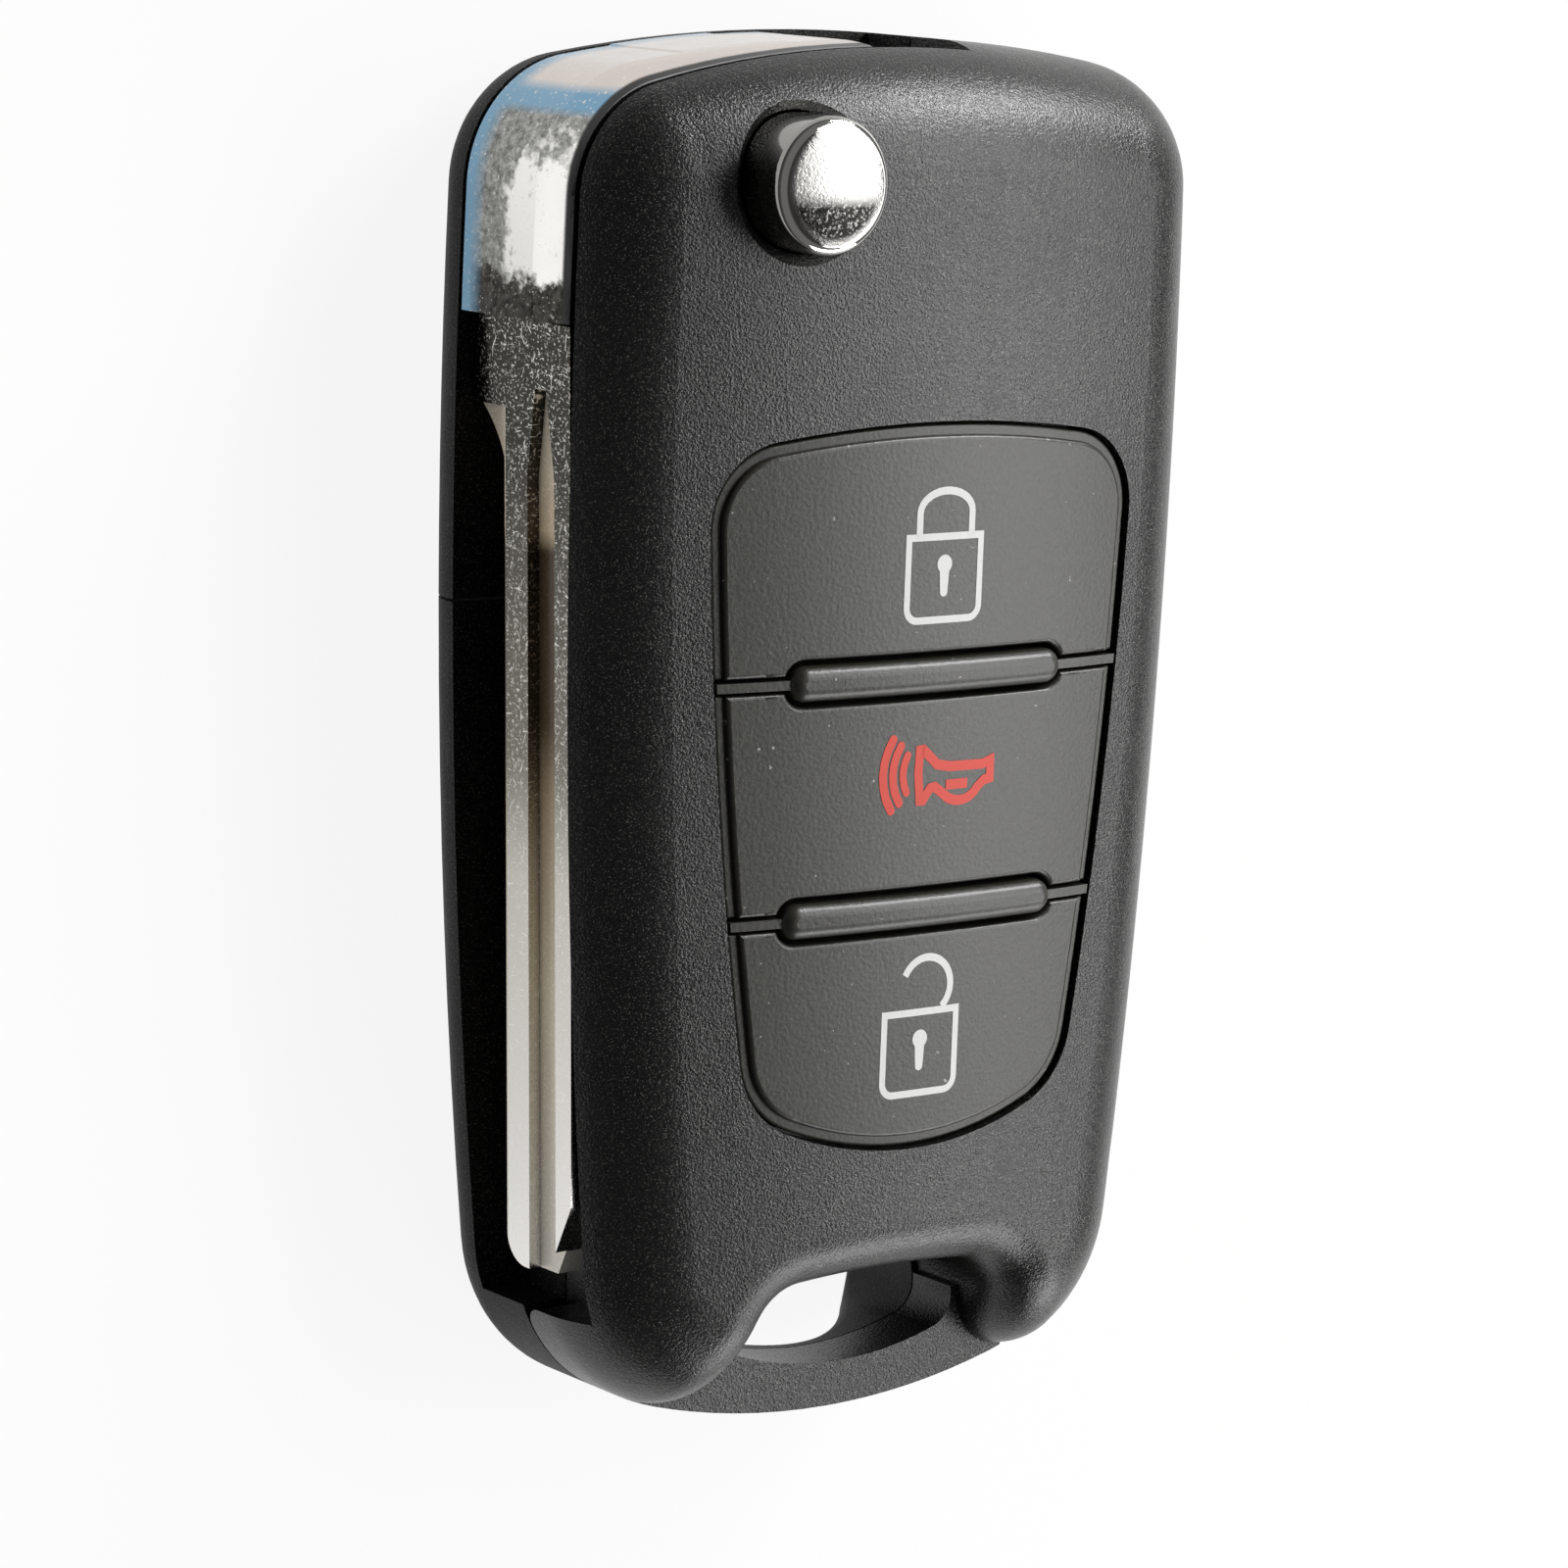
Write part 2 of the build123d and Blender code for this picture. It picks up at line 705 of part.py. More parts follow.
# Board carrier: a frame round the circuit board, with a ledge below it
with BuildPart() as board_carrier:
    with BuildSketch(Plane.XY.offset(board_height - carrier_drop)):
        add(bay_plan(bay_gap))
        add(bay_plan(bay_gap + carrier_wall), mode=Mode.SUBTRACT)
    extrude(amount=sheet_bottom - board_height + carrier_drop)
    with BuildSketch(Plane.XY.offset(board_height - carrier_wall)):
        add(bay_plan(bay_gap))
        add(bay_plan(bay_gap + carrier_wall + carrier_ledge), mode=Mode.SUBTRACT)
    extrude(amount=carrier_wall)
    add(case_room_fitted, mode=Mode.INTERSECT)
board_carrier.part.label = "board_carrier"
export_step(board_carrier.part, "parts/board_carrier.step")

# Circuit board
with BuildPart() as circuit_board:
    with BuildSketch(Plane.XY.offset(board_height)):
        add(bay_plan(bay_gap + carrier_wall + board_gap))
    extrude(amount=board_thickness)
circuit_board.part.label = "circuit_board"
export_step(circuit_board.part, "parts/circuit_board.step")

# Push switches, one under each button
for label, centre_y in zip(("lock_switch", "panic_switch", "unlock_switch"), key_centres):
    with BuildPart() as push_switch:
        with BuildSketch(Plane.XY.offset(board_top)):
            with Locations((pad_x, centre_y)):
                RectangleRounded(switch_size, switch_size, smallest_radius)
        extrude(amount=switch_body)
        with BuildSketch(Plane.XY.offset(switch_top)):
            with Locations((pad_x, centre_y)):
                Circle(actuator_radius)
        extrude(amount=actuator_height)
    push_switch.part.label = label
    export_step(push_switch.part, f"parts/{label}.step")

# Chips and the crystal on the board's upper side, each so far from the middle button's switch
for label, offset_from_key, size, height in board_chips:
    with BuildPart() as chip:
        with BuildSketch(Plane.XY.offset(board_top)):
            with Locations((pad_x + offset_from_key[0], key_middle_y + offset_from_key[1])):
                RectangleRounded(size[0], size[1], smallest_radius)
        extrude(amount=height)
    chip.part.label = label
    export_step(chip.part, f"parts/{label}.step")

# Coin cell: the can, with the smaller negative face towards the board
with BuildPart() as coin_cell:
    with BuildSketch(Plane.XY.offset(cell_height)):
        with Locations((pad_x, cell_y)):
            Circle(cell_radius)
    extrude(amount=cell_thickness - cell_step)
    chamfer(coin_cell.edges(), cell_step)
    with BuildSketch(Plane.XY.offset(cell_height + cell_thickness - cell_step)):
        with Locations((pad_x, cell_y)):
            Circle(cell_radius - cell_face_inset)
    extrude(amount=cell_step)
coin_cell.part.label = "coin_cell"
export_step(coin_cell.part, "parts/coin_cell.step")

# Negative clip: a leaf that bends from the board down to the middle of the cell
with BuildPart() as battery_clip_negative:
    with BuildSketch(Plane.XZ.offset(-cell_y)):
        with BuildLine():
            Polyline(
                (pad_x - clip_reach, board_height - clip_gauge / 2),
                (pad_x - clip_bend, board_height - clip_gauge / 2),
                (pad_x + clip_bend, cell_height + cell_thickness + clip_gauge / 2),
                (pad_x + clip_reach, cell_height + cell_thickness + clip_gauge / 2),
            )
            offset(amount=clip_gauge / 2, side=Side.BOTH)
        make_face()
    extrude(amount=clip_width / 2, both=True)
battery_clip_negative.part.label = "battery_clip_negative"
export_step(battery_clip_negative.part, "parts/battery_clip_negative.step")

# Positive clip: a bracket down the side of the cell, with a foot under its edge
clip_x = pad_x + cell_radius + bay_gap
with BuildPart() as battery_clip_positive:
    with BuildSketch(Plane.XZ.offset(-cell_y)):
        with Locations((clip_x, cell_height - clip_gauge)):
            Rectangle(clip_gauge, board_height - cell_height + clip_gauge, align=Align.MIN)
        with Locations((clip_x, board_height)):
            Rectangle(clip_foot, clip_gauge, align=(Align.MIN, Align.MAX))
        with Locations((clip_x + clip_gauge, cell_height)):
            Rectangle(clip_foot, clip_gauge, align=(Align.MAX, Align.MAX))
    extrude(amount=clip_width / 2, both=True)
battery_clip_positive.part.label = "battery_clip_positive"
export_step(battery_clip_positive.part, "parts/battery_clip_positive.step")

# Transponder: a small ceramic block in the pocket right of the head
with BuildPart() as transponder_chip:
    with BuildSketch(Plane.XY.offset(wall)):
        with Locations((transponder_x, transponder_y)):
            RectangleRounded(transponder_length, transponder_width, smallest_radius)
    extrude(amount=transponder_thickness)
    fillet(transponder_chip.edges().group_by(Axis.Z)[-1], smallest_radius)
transponder_chip.part.label = "transponder_chip"
export_step(transponder_chip.part, "parts/transponder_chip.step")

# Blade: flat bar with a lengthwise groove in both faces, a milled step and a bevelled tip
blade_face = Plane(
    origin=(blade_face_x, head_root_y, 0),
    x_dir=(math.sin(lean), -math.cos(lean), 0),
    z_dir=(-math.cos(lean), -math.sin(lean), 0),
)
blade_low = head_bottom + blade_edge_gap
blade_high = head_top - blade_edge_gap
groove_middle = blade_high - groove_from_edge - groove_width / 2
tang_middle = (head_bottom + head_top) / 2
blade_start = blade_thickness * math.tan(lean) + tang_gap
step_end = blade_step_start + blade_step_run
with BuildPart() as key_blade:
    with BuildSketch(blade_face) as blade_side:
        with BuildLine():
            Polyline(
                (blade_length, blade_low + blade_step),
                (blade_length, blade_high - blade_bevel_width),
                (blade_length - blade_bevel_length, blade_high),
                (blade_start, blade_high),
                (blade_start, blade_low),
                (blade_step_start, blade_low),
            )
            TangentArc(
                (step_end, blade_low + blade_step),
                (blade_step_start, blade_low),
                tangent=(-1, 0),
            )
            Line((step_end, blade_low + blade_step), (blade_length, blade_low + blade_step))
        make_face()
        tip = blade_side.vertices().group_by(Axis.X)[-1].sort_by(Axis.Y)
        fillet(tip[0], blade_tip_radius)
        fillet(tip[-1], smallest_radius)
        with Locations((0, tang_middle)):
            Rectangle(2 * tang_length, tang_width)
    extrude(amount=-blade_thickness)
    with BuildSketch(blade_face):
        with Locations((blade_step_start, blade_low)):
            Rectangle(blade_step_run, blade_step, align=(Align.MIN, Align.MIN))
    extrude(amount=-blade_ledge_depth, mode=Mode.SUBTRACT)
    for depth in (0, blade_thickness - groove_depth):
        with BuildSketch(blade_face.offset(-depth)):
            with BuildLine():
                Polyline(
                    (groove_start, groove_middle + groove_start_width / 2),
                    (groove_start + groove_taper, groove_middle + groove_width / 2),
                    (far, groove_middle + groove_width / 2),
                    (far, groove_middle - groove_width / 2),
                    (groove_start + groove_taper, groove_middle - groove_width / 2),
                    (groove_start, groove_middle - groove_start_width / 2),
                    close=True,
                )
            make_face()
        extrude(amount=-groove_depth, mode=Mode.SUBTRACT)
    with BuildSketch(Plane.XY):
        with Locations(blade_point(-pin_setback, blade_thickness / 2)):
            Circle(pin_radius + tang_gap)
    extrude(amount=thickness, mode=Mode.SUBTRACT)
key_blade.part.label = "key_blade"
export_step(key_blade.part, "parts/key_blade.step")

# Blade pin: crosses the head and the tang
with BuildPart() as blade_pin:
    with BuildSketch(Plane.XY.offset(head_bottom + pin_floor)):
        with Locations(blade_point(-pin_setback, blade_thickness / 2)):
            Circle(pin_radius)
    extrude(amount=head_top - head_bottom - 2 * pin_floor)
    chamfer(blade_pin.edges(), pin_chamfer)
blade_pin.part.label = "blade_pin"
export_step(blade_pin.part, "parts/blade_pin.step")

# Blade head: the polished block that turns about the pivot and follows the case's outline
with BuildPart() as blade_head:
    with BuildSketch(Plane.XY.offset(head_bottom)) as head_plan:
        with Locations((pivot_x, head_root_y)):
            Rectangle(half_width, length, align=(Align.MAX, Align.MIN))
        with Locations((pivot_x, pivot_y)):
            Rectangle(head_reach_right, length, align=(Align.MIN, Align.MIN))
        add(case_plan(head_flush_gap), mode=Mode.INTERSECT)
        fillet(head_plan.vertices().sort_by(Axis.X)[-2:].sort_by(Axis.Y)[-1], head_corner_radius)
        with Locations((pivot_x, pivot_y)):
            Circle(head_drop)
    extrude(amount=head_top - head_bottom)
    add(case, mode=Mode.INTERSECT)
    with BuildSketch(Plane.XY.offset(head_bottom)):
        with Locations((pivot_x, pivot_y)):
            Circle(spring_pocket_radius)
    extrude(amount=head_top - head_bottom - head_web, mode=Mode.SUBTRACT)
    with BuildSketch(Plane.XY.offset(head_bottom)):
        with Locations((pivot_x, pivot_y)):
            Circle(shaft_radius + shaft_gap)
        with Locations(blade_point(-pin_setback, blade_thickness / 2)):
            Circle(pin_radius + tang_gap)
    extrude(amount=thickness, mode=Mode.SUBTRACT)
    with BuildSketch(blade_face.offset(tang_gap)):
        with Locations((0, tang_middle)):
            Rectangle(2 * (tang_length + tang_gap), tang_width + 2 * tang_gap)
    extrude(amount=-blade_thickness - 2 * tang_gap, mode=Mode.SUBTRACT)
blade_head.part.label = "blade_head"
export_step(blade_head.part, "parts/blade_head.step")

# Lock shaft: turned shaft with four lock lugs, which the spring pushes up against the head's web
shaft_top = head_top + release_travel + button_rest_gap + shaft_socket
lug_top = head_top - head_web - lug_gap
lug_bottom = lug_top - lug_thickness
cup_floor = slot_floor - cup_depth
boss_top = slot_floor + guide_boss_rise
foot_bottom = boss_top + release_travel + lug_gap
with BuildPart() as lock_shaft:
    with BuildSketch(Plane.XY.offset(boss_top - guide_engagement)):
        with Locations((pivot_x, pivot_y)):
            Circle(guide_radius)
    extrude(amount=foot_bottom - boss_top + guide_engagement)
    with BuildSketch(Plane.XY.offset(foot_bottom)):
        with Locations((pivot_x, pivot_y)):
            Circle(shaft_foot_radius)
    extrude(amount=lug_bottom - foot_bottom)
    with BuildSketch(Plane.XY.offset(lug_bottom)):
        with Locations((pivot_x, pivot_y)):
            Circle(lug_radius)
            Rectangle(2 * lug_flat, 2 * lug_flat, mode=Mode.INTERSECT)
    extrude(amount=lug_thickness)
    with BuildSketch(Plane.XY.offset(lug_top)):
        with Locations((pivot_x, pivot_y)):
            Circle(shaft_radius)
    extrude(amount=shaft_top - shaft_socket - lug_top)
    with BuildSketch(Plane.XY.offset(lug_top)):
        with Locations((pivot_x, pivot_y)):
            Circle(shaft_foot_radius)
    extrude(amount=shaft_top - lug_top)
lock_shaft.part.label = "lock_shaft"
export_step(lock_shaft.part, "parts/lock_shaft.step")

# Release button: domed cap with a rounded rim, pressed on to the shaft
cap_bottom = shaft_top - shaft_socket
cap_top = pivot_crown + button_rise
dome_radius = (button_radius**2 + button_dome**2) / (2 * button_dome)
pivot_section = Plane(origin=(pivot_x, pivot_y, 0), x_dir=(1, 0, 0), z_dir=(0, -1, 0))
with BuildPart() as release_button:
    with BuildSketch(pivot_section) as cap_side:
        with BuildLine():
            Polyline(
                (0, cap_top),
                (0, cap_bottom),
                (button_radius, cap_bottom),
                (button_radius, cap_top - button_dome),
            )
            RadiusArc((0, cap_top), (button_radius, cap_top - button_dome), dome_radius)
        make_face()
        fillet(cap_side.vertices().group_by(Axis.X)[-1].sort_by(Axis.Y)[-1], button_edge_radius)
    revolve(axis=Axis((pivot_x, pivot_y, 0), (0, 0, 1)))
    with BuildSketch(Plane.XY.offset(cap_bottom)):
        with Locations((pivot_x, pivot_y)):
            Circle(shaft_foot_radius + tang_gap)
    extrude(amount=shaft_socket + tang_gap, mode=Mode.SUBTRACT)
release_button.part.label = "release_button"
export_step(release_button.part, "parts/release_button.step")

# Spring cup: a pressed dish in the rear shell, round the guide boss
with BuildPart() as spring_cup:
    with BuildSketch(Plane.XY.offset(cup_floor)):
        with Locations((pivot_x, pivot_y)):
            Circle(cup_radius)
    extrude(amount=cup_depth)
    with BuildSketch(Plane.XY.offset(cup_floor + cup_gauge)):
        with Locations((pivot_x, pivot_y)):
            Circle(cup_radius - cup_gauge)
    extrude(amount=cup_depth, mode=Mode.SUBTRACT)
    with BuildSketch(Plane.XY.offset(cup_floor)):
        with Locations((pivot_x, pivot_y)):
            Circle(guide_boss_radius + cup_gap)
    extrude(amount=cup_depth, mode=Mode.SUBTRACT)
spring_cup.part.label = "spring_cup"
export_step(spring_cup.part, "parts/spring_cup.step")

# Flip spring: a coil that turns the head and pushes the shaft up
coil_low = cup_floor + cup_gauge + spring_seat_gap + spring_wire / 2
coil_high = lug_bottom - spring_seat_gap - spring_wire / 2
with BuildPart() as flip_spring:
    with BuildLine() as coil:
        Helix(
            pitch=(coil_high - coil_low) / spring_turns,
            height=coil_high - coil_low,
            radius=spring_mean_radius,
            center=(pivot_x, pivot_y, coil_low),
        )
    with BuildSketch(Plane(origin=coil.line @ 0, z_dir=coil.line % 0)):
        Circle(spring_wire / 2)
    sweep()
flip_spring.part.label = "flip_spring"
export_step(flip_spring.part, "parts/flip_spring.step")
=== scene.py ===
# %% [markdown]
# # A flip-out car key fob
# The fob lies on its back on a pale table with its buttons up. Its black case holds a folded blade in
# a slot down its left side, under a polished metal head that swings out when the round button is
# pressed. The solids come from the CAD model, so this lesson adds the camera, the table, the light,
# the finishes and the printed signs on the three buttons.

# %% Load the fixed frame
import math

import bmesh
import bpy
from mathutils import Matrix, Vector


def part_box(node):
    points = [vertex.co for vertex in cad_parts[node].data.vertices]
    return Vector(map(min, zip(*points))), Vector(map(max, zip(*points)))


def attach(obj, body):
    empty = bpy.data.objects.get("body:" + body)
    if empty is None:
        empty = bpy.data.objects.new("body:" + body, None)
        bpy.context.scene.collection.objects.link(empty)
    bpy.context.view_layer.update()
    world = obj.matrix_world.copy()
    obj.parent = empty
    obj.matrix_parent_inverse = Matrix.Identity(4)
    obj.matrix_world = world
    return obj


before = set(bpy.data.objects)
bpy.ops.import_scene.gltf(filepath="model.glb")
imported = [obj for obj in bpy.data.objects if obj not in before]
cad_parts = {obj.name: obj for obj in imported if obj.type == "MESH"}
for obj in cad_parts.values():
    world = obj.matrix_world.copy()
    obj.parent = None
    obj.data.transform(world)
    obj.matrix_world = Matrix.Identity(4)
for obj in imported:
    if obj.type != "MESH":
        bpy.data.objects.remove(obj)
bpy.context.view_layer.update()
bpy.ops.object.select_all(action="DESELECT")
bpy.context.scene.view_settings.view_transform = "Standard"
mm = 0.001

# %% [markdown]
# ## The camera
# The picture looks at the fob from its left and a little from its top end, through a long lens, so
# the slot with the blade shows beside the buttons. A camera could be aimed by a constraint, but its
# roll and its sideways shift matter here too. So it is placed by three directions: back towards the
# viewer, right across the picture and up. The angles were fitted to the fob's outline.

# %% Camera
view_yaw, view_pitch, view_roll = (math.radians(angle) for angle in (37.197, 9.790, 2.132))
view_distance = 318.08 * mm
view_shift = (2.985 * mm, -4.348 * mm)
picture_width = 1600
focal_pixels = 5842.1
sensor_width = 36

back = Vector((
    -math.sin(view_yaw) * math.cos(view_pitch),
    math.sin(view_pitch),
    math.cos(view_yaw) * math.cos(view_pitch),
))
level_right = (-back).cross(Vector((0, 1, 0))).normalized()
level_up = level_right.cross(-back)
right = math.cos(view_roll) * level_right + math.sin(view_roll) * level_up
up = math.cos(view_roll) * level_up - math.sin(view_roll) * level_right
eye = back * view_distance + right * view_shift[0] + up * view_shift[1]

bpy.ops.object.camera_add()
camera = bpy.context.object
camera.name = "camera"
camera.matrix_world = Matrix.Translation(eye) @ Matrix((right, up, back)).transposed().to_4x4()
camera.data.sensor_width = sensor_width
camera.data.lens = focal_pixels / picture_width * sensor_width
camera.data.clip_start = 10 * mm
bpy.context.scene.camera = camera
print("camera at", [round(v, 3) for v in eye], "lens", round(camera.data.lens, 1))

# %% [markdown]
# ## The table
# The table is one large plane, a hair below the fob so that the two surfaces don't fight. Lamps that
# make plain paint look white would be too strong for the fob. So a pale paint is mixed with a white
# glow: the camera sees mostly glow, mirrors see a good part of it, and light that bounces sees only
# the paint. The shadow falls on the paint's share and stays soft.

# %% Table
table_size, table_drop = 4, 0.02 * mm
bpy.ops.mesh.primitive_plane_add(size=table_size, location=(0, 0, -table_drop))
table = bpy.context.object
table.name = "table"
bpy.ops.object.transform_apply(location=True, rotation=True, scale=True)
print("table:", table_size, "m square, its top", table_drop / mm, "mm below the fob")

# %% Table paint
paint_colour = (0.8, 0.8, 0.79, 1)
glow_shares = (("Is Camera Ray", 0.9), ("Is Glossy Ray", 0.7), ("Is Transmission Ray", 0.7))

table_paint = bpy.data.materials.new("table_paint")
table_paint.use_nodes = True
tree = table_paint.node_tree
tree.nodes.clear()
paint = tree.nodes.new("ShaderNodeBsdfDiffuse")
paint.inputs["Color"].default_value = paint_colour
glow = tree.nodes.new("ShaderNodeEmission")
path = tree.nodes.new("ShaderNodeLightPath")
mix = tree.nodes.new("ShaderNodeMixShader")
out = tree.nodes.new("ShaderNodeOutputMaterial")
glow_share = None
for ray, share in glow_shares:
    seen = tree.nodes.new("ShaderNodeMath")
    seen.operation = "MULTIPLY_ADD"
    seen.inputs[1].default_value = share
    seen.inputs[2].default_value = 0
    tree.links.new(path.outputs[ray], seen.inputs[0])
    if glow_share is not None:
        tree.links.new(glow_share, seen.inputs[2])
    glow_share = seen.outputs[0]
tree.links.new(glow_share, mix.inputs[0])
tree.links.new(paint.outputs[0], mix.inputs[1])
tree.links.new(glow.outputs[0], mix.inputs[2])
tree.links.new(mix.outputs[0], out.inputs["Surface"])
table.data.materials.append(table_paint)
print("share of glow:", dict(glow_shares))

# %% [markdown]
# ## The light
# A black part shows its form by what it mirrors, and a small lamp would be a hot spot there, so each
# lamp is a large soft rectangle with a task of its own. The right box is a long one beside the fob:
# the crowned face brightens towards the right and the left flank falls into shade. The edge box
# stands behind the pivot end and draws a highlight along the top edge. The low box lights the scoop
# by the keyring from the lower right. The sky is white where the camera sees it, and dim in mirrors
# and as light, so that black stays black.


# %% Lamps
def softbox(name, place, size, brightness):
    """A rectangular lamp that faces the fob, in metres. At brightness 1 it looks just white itself."""
    bpy.ops.object.light_add(type="AREA", location=place)
    lamp = bpy.context.object
    lamp.name = name
    lamp.data.shape = "RECTANGLE"
    lamp.data.size, lamp.data.size_y = size
    lamp.data.energy = brightness * math.pi * size[0] * size[1]
    lamp.rotation_euler = Vector(place).to_track_quat("Z", "Y").to_euler()
    print(name, "gives", round(lamp.data.energy, 2), "watts")


softbox("right_box", place=(0.58, 0.13, 0.652), size=(0.87, 0.37), brightness=6.7)
softbox("edge_box", place=(0.61, 0.655, 0.36), size=(0.36, 0.14), brightness=46.0)
softbox("low_box", place=(0.44, -0.57, 0.31), size=(0.6, 0.3), brightness=6.2)

# %% Sky
sky_as_light, sky_to_camera = 0.12, 1.0

world = bpy.data.worlds.new("studio")
bpy.context.scene.world = world
world.use_nodes = True
sky = world.node_tree.nodes["Background"]
sky.inputs["Color"].default_value = (1, 1, 1, 1)
sky_path = world.node_tree.nodes.new("ShaderNodeLightPath")
sky_level = world.node_tree.nodes.new("ShaderNodeMapRange")
sky_level.inputs["To Min"].default_value = sky_as_light
sky_level.inputs["To Max"].default_value = sky_to_camera
world.node_tree.links.new(sky_path.outputs["Is Camera Ray"], sky_level.inputs["Value"])
world.node_tree.links.new(sky_level.outputs["Result"], sky.inputs["Strength"])
print("sky:", sky_to_camera, "to the camera and", sky_as_light, "as light")

# %% [markdown]
# ## Finishes
# A finish could be a picture wrapped round each piece, but that needs unwrapping and shows its pixels.
# Here each one is a small set of nodes on the object's own coordinates. They are metres, so a noise
# scale of 5000 makes grains of about a fifth of a millimetre. A few helpers keep the cells short: one
# starts a finish, and the others add a node each, link it and give back its result.


# %% Start a finish and put it on
def new_finish(name, colour, roughness, metallic=0.0):
    """A material, its tree, its one shader and the object's coordinates.

    The plain values are only a start: most finishes link a pattern to them later.
    """
    material = bpy.data.materials.new(name)
    material.use_nodes = True
    tree = material.node_tree
    shader = tree.nodes["Principled BSDF"]
    shader.inputs["Base Color"].default_value = (*colour, 1)
    shader.inputs["Roughness"].default_value = roughness
    shader.inputs["Metallic"].default_value = metallic
    place = tree.nodes.new("ShaderNodeTexCoord").outputs["Object"]
    return material, tree, shader, place


def dress(material, *names):
    """Gives a finish to CAD nodes, in place of what they had."""
    for name in names:
        mesh = bpy.data.objects[name].data
        mesh.materials.clear()
        mesh.materials.append(material)
    print(material.name, "is on", ", ".join(names))


# %% Patterns
def noise(tree, place, scale, detail=2.0, rough=0.5):
    """Cloudy noise about a half. More detail adds finer clouds, and rough makes them stronger."""
    node = tree.nodes.new("ShaderNodeTexNoise")
    node.inputs["Scale"].default_value = scale
    node.inputs["Detail"].default_value = detail
    node.inputs["Roughness"].default_value = rough
    tree.links.new(place, node.inputs["Vector"])
    return node.outputs["Fac"]


def remap(tree, value, low, high, to_low=0.0, to_high=1.0):
    """The value stretched from one range to another, and held at its ends."""
    node = tree.nodes.new("ShaderNodeMapRange")
    node.inputs["From Min"].default_value = low
    node.inputs["From Max"].default_value = high
    node.inputs["To Min"].default_value = to_low
    node.inputs["To Max"].default_value = to_high
    tree.links.new(value, node.inputs["Value"])
    return node.outputs["Result"]


def along_axis(tree, place, axis, low, high):
    """How far along an axis the point is, from 0 at low to 1 at high, both in metres."""
    split = tree.nodes.new("ShaderNodeSeparateXYZ")
    tree.links.new(place, split.inputs[0])
    return remap(tree, split.outputs[axis], low, high)


def calculate(tree, operation, first, second=0.0):
    """One step of sums. Each value is a number or a socket."""
    node = tree.nodes.new("ShaderNodeMath")
    node.operation = operation
    for socket, value in zip(node.inputs, (first, second)):
        if isinstance(value, (int, float)):
            socket.default_value = value
        else:
            tree.links.new(value, socket)
    return node.outputs[0]


# %% Colours and relief
def blend(tree, amount, first, second):
    """A colour between two, by the amount. Each is a colour or a socket."""
    node = tree.nodes.new("ShaderNodeMix")
    node.data_type = "RGBA"
    tree.links.new(amount, node.inputs[0])
    for socket, colour in ((node.inputs[6], first), (node.inputs[7], second)):
        if isinstance(colour, tuple):
            socket.default_value = (*colour, 1)
        else:
            tree.links.new(colour, socket)
    return node.outputs[2]


def colour_run(tree, value, stops):
    """A smooth run of colours along a value from 0 to 1. Each stop is a value and its colour."""
    node = tree.nodes.new("ShaderNodeValToRGB")
    elements = node.color_ramp.elements
    while len(elements) < len(stops):
        elements.new(0.5)
    for element, (position, colour) in zip(elements, stops):
        element.position = position
        element.color = (*colour, 1)
    tree.links.new(value, node.inputs["Fac"])
    return node.outputs["Color"]


def bump(tree, shader, height, strength, depth):
    """Relief that only the light sees, as deep as the depth in metres at full strength."""
    node = tree.nodes.new("ShaderNodeBump")
    node.inputs["Strength"].default_value = strength
    node.inputs["Distance"].default_value = depth
    tree.links.new(height, node.inputs["Height"])
    tree.links.new(node.outputs["Normal"], shader.inputs["Normal"])


# %% [markdown]
# ### Spark-eroded black plastic
# The case is moulded black plastic from a tool that was spark-eroded, which leaves a fine even grain
# of pits. Modelled pits would be far too many faces, so noise stands for them. One noise makes the
# grain's relief and tone, a finer one adds pale flecks of painted highlight where the light catches a
# peak, and a large soft one varies the gloss, as thumbs do. The front is rubbed glossier than the
# rear shell and the cover, so the same function makes both finishes.


# %% Case finish
def grained_black(name, roughness, specular):
    """Black plastic with a spark-eroded grain."""
    material, tree, shader, place = new_finish(name, (0.01, 0.01, 0.01), roughness)
    shader.inputs["Specular IOR Level"].default_value = specular
    grain = noise(tree, place, scale=6500, detail=2.0, rough=0.6)
    # Pale flecks of painted highlight: glints where the light catches a peak of the grain.
    glint_flecks = remap(tree, noise(tree, place, scale=10500, detail=1.0), 0.6, 0.72)
    thumbed = noise(tree, place, scale=160)
    pit_black, peak_black = (0.001, 0.001, 0.001), (0.01, 0.0099, 0.0096)
    glint_grey = (0.13, 0.127, 0.118)
    tone = blend(tree, remap(tree, grain, 0.4, 0.65), pit_black, peak_black)
    tree.links.new(blend(tree, glint_flecks, tone, glint_grey), shader.inputs["Base Color"])
    gloss = remap(tree, thumbed, 0.3, 0.7, roughness - 0.03, roughness + 0.03)
    tree.links.new(gloss, shader.inputs["Roughness"])
    bump(tree, shader, grain, strength=0.85, depth=0.055 * mm)
    return material


dress(grained_black("shell_black", roughness=0.28, specular=0.5), "front_shell")
dress(grained_black("back_black", roughness=0.5, specular=0.2), "rear_shell", "battery_cover")

# %% [markdown]
# ### Satin keypad
# The buttons and the two bars are smoother than the case: a satin skin with a fine tooth, a faint
# olive cast and a few specks of dust. The tooth is one noise for both tone and relief, so that its
# dark spots are its hollows. The dust is a coarser noise that is cut close to its top, because only
# its few highest peaks pass the cut.

# %% Keypad finish
hollow_olive, raised_olive = (0.015, 0.0145, 0.0105), (0.027, 0.026, 0.0185)
dust_grey = (0.3, 0.3, 0.28)

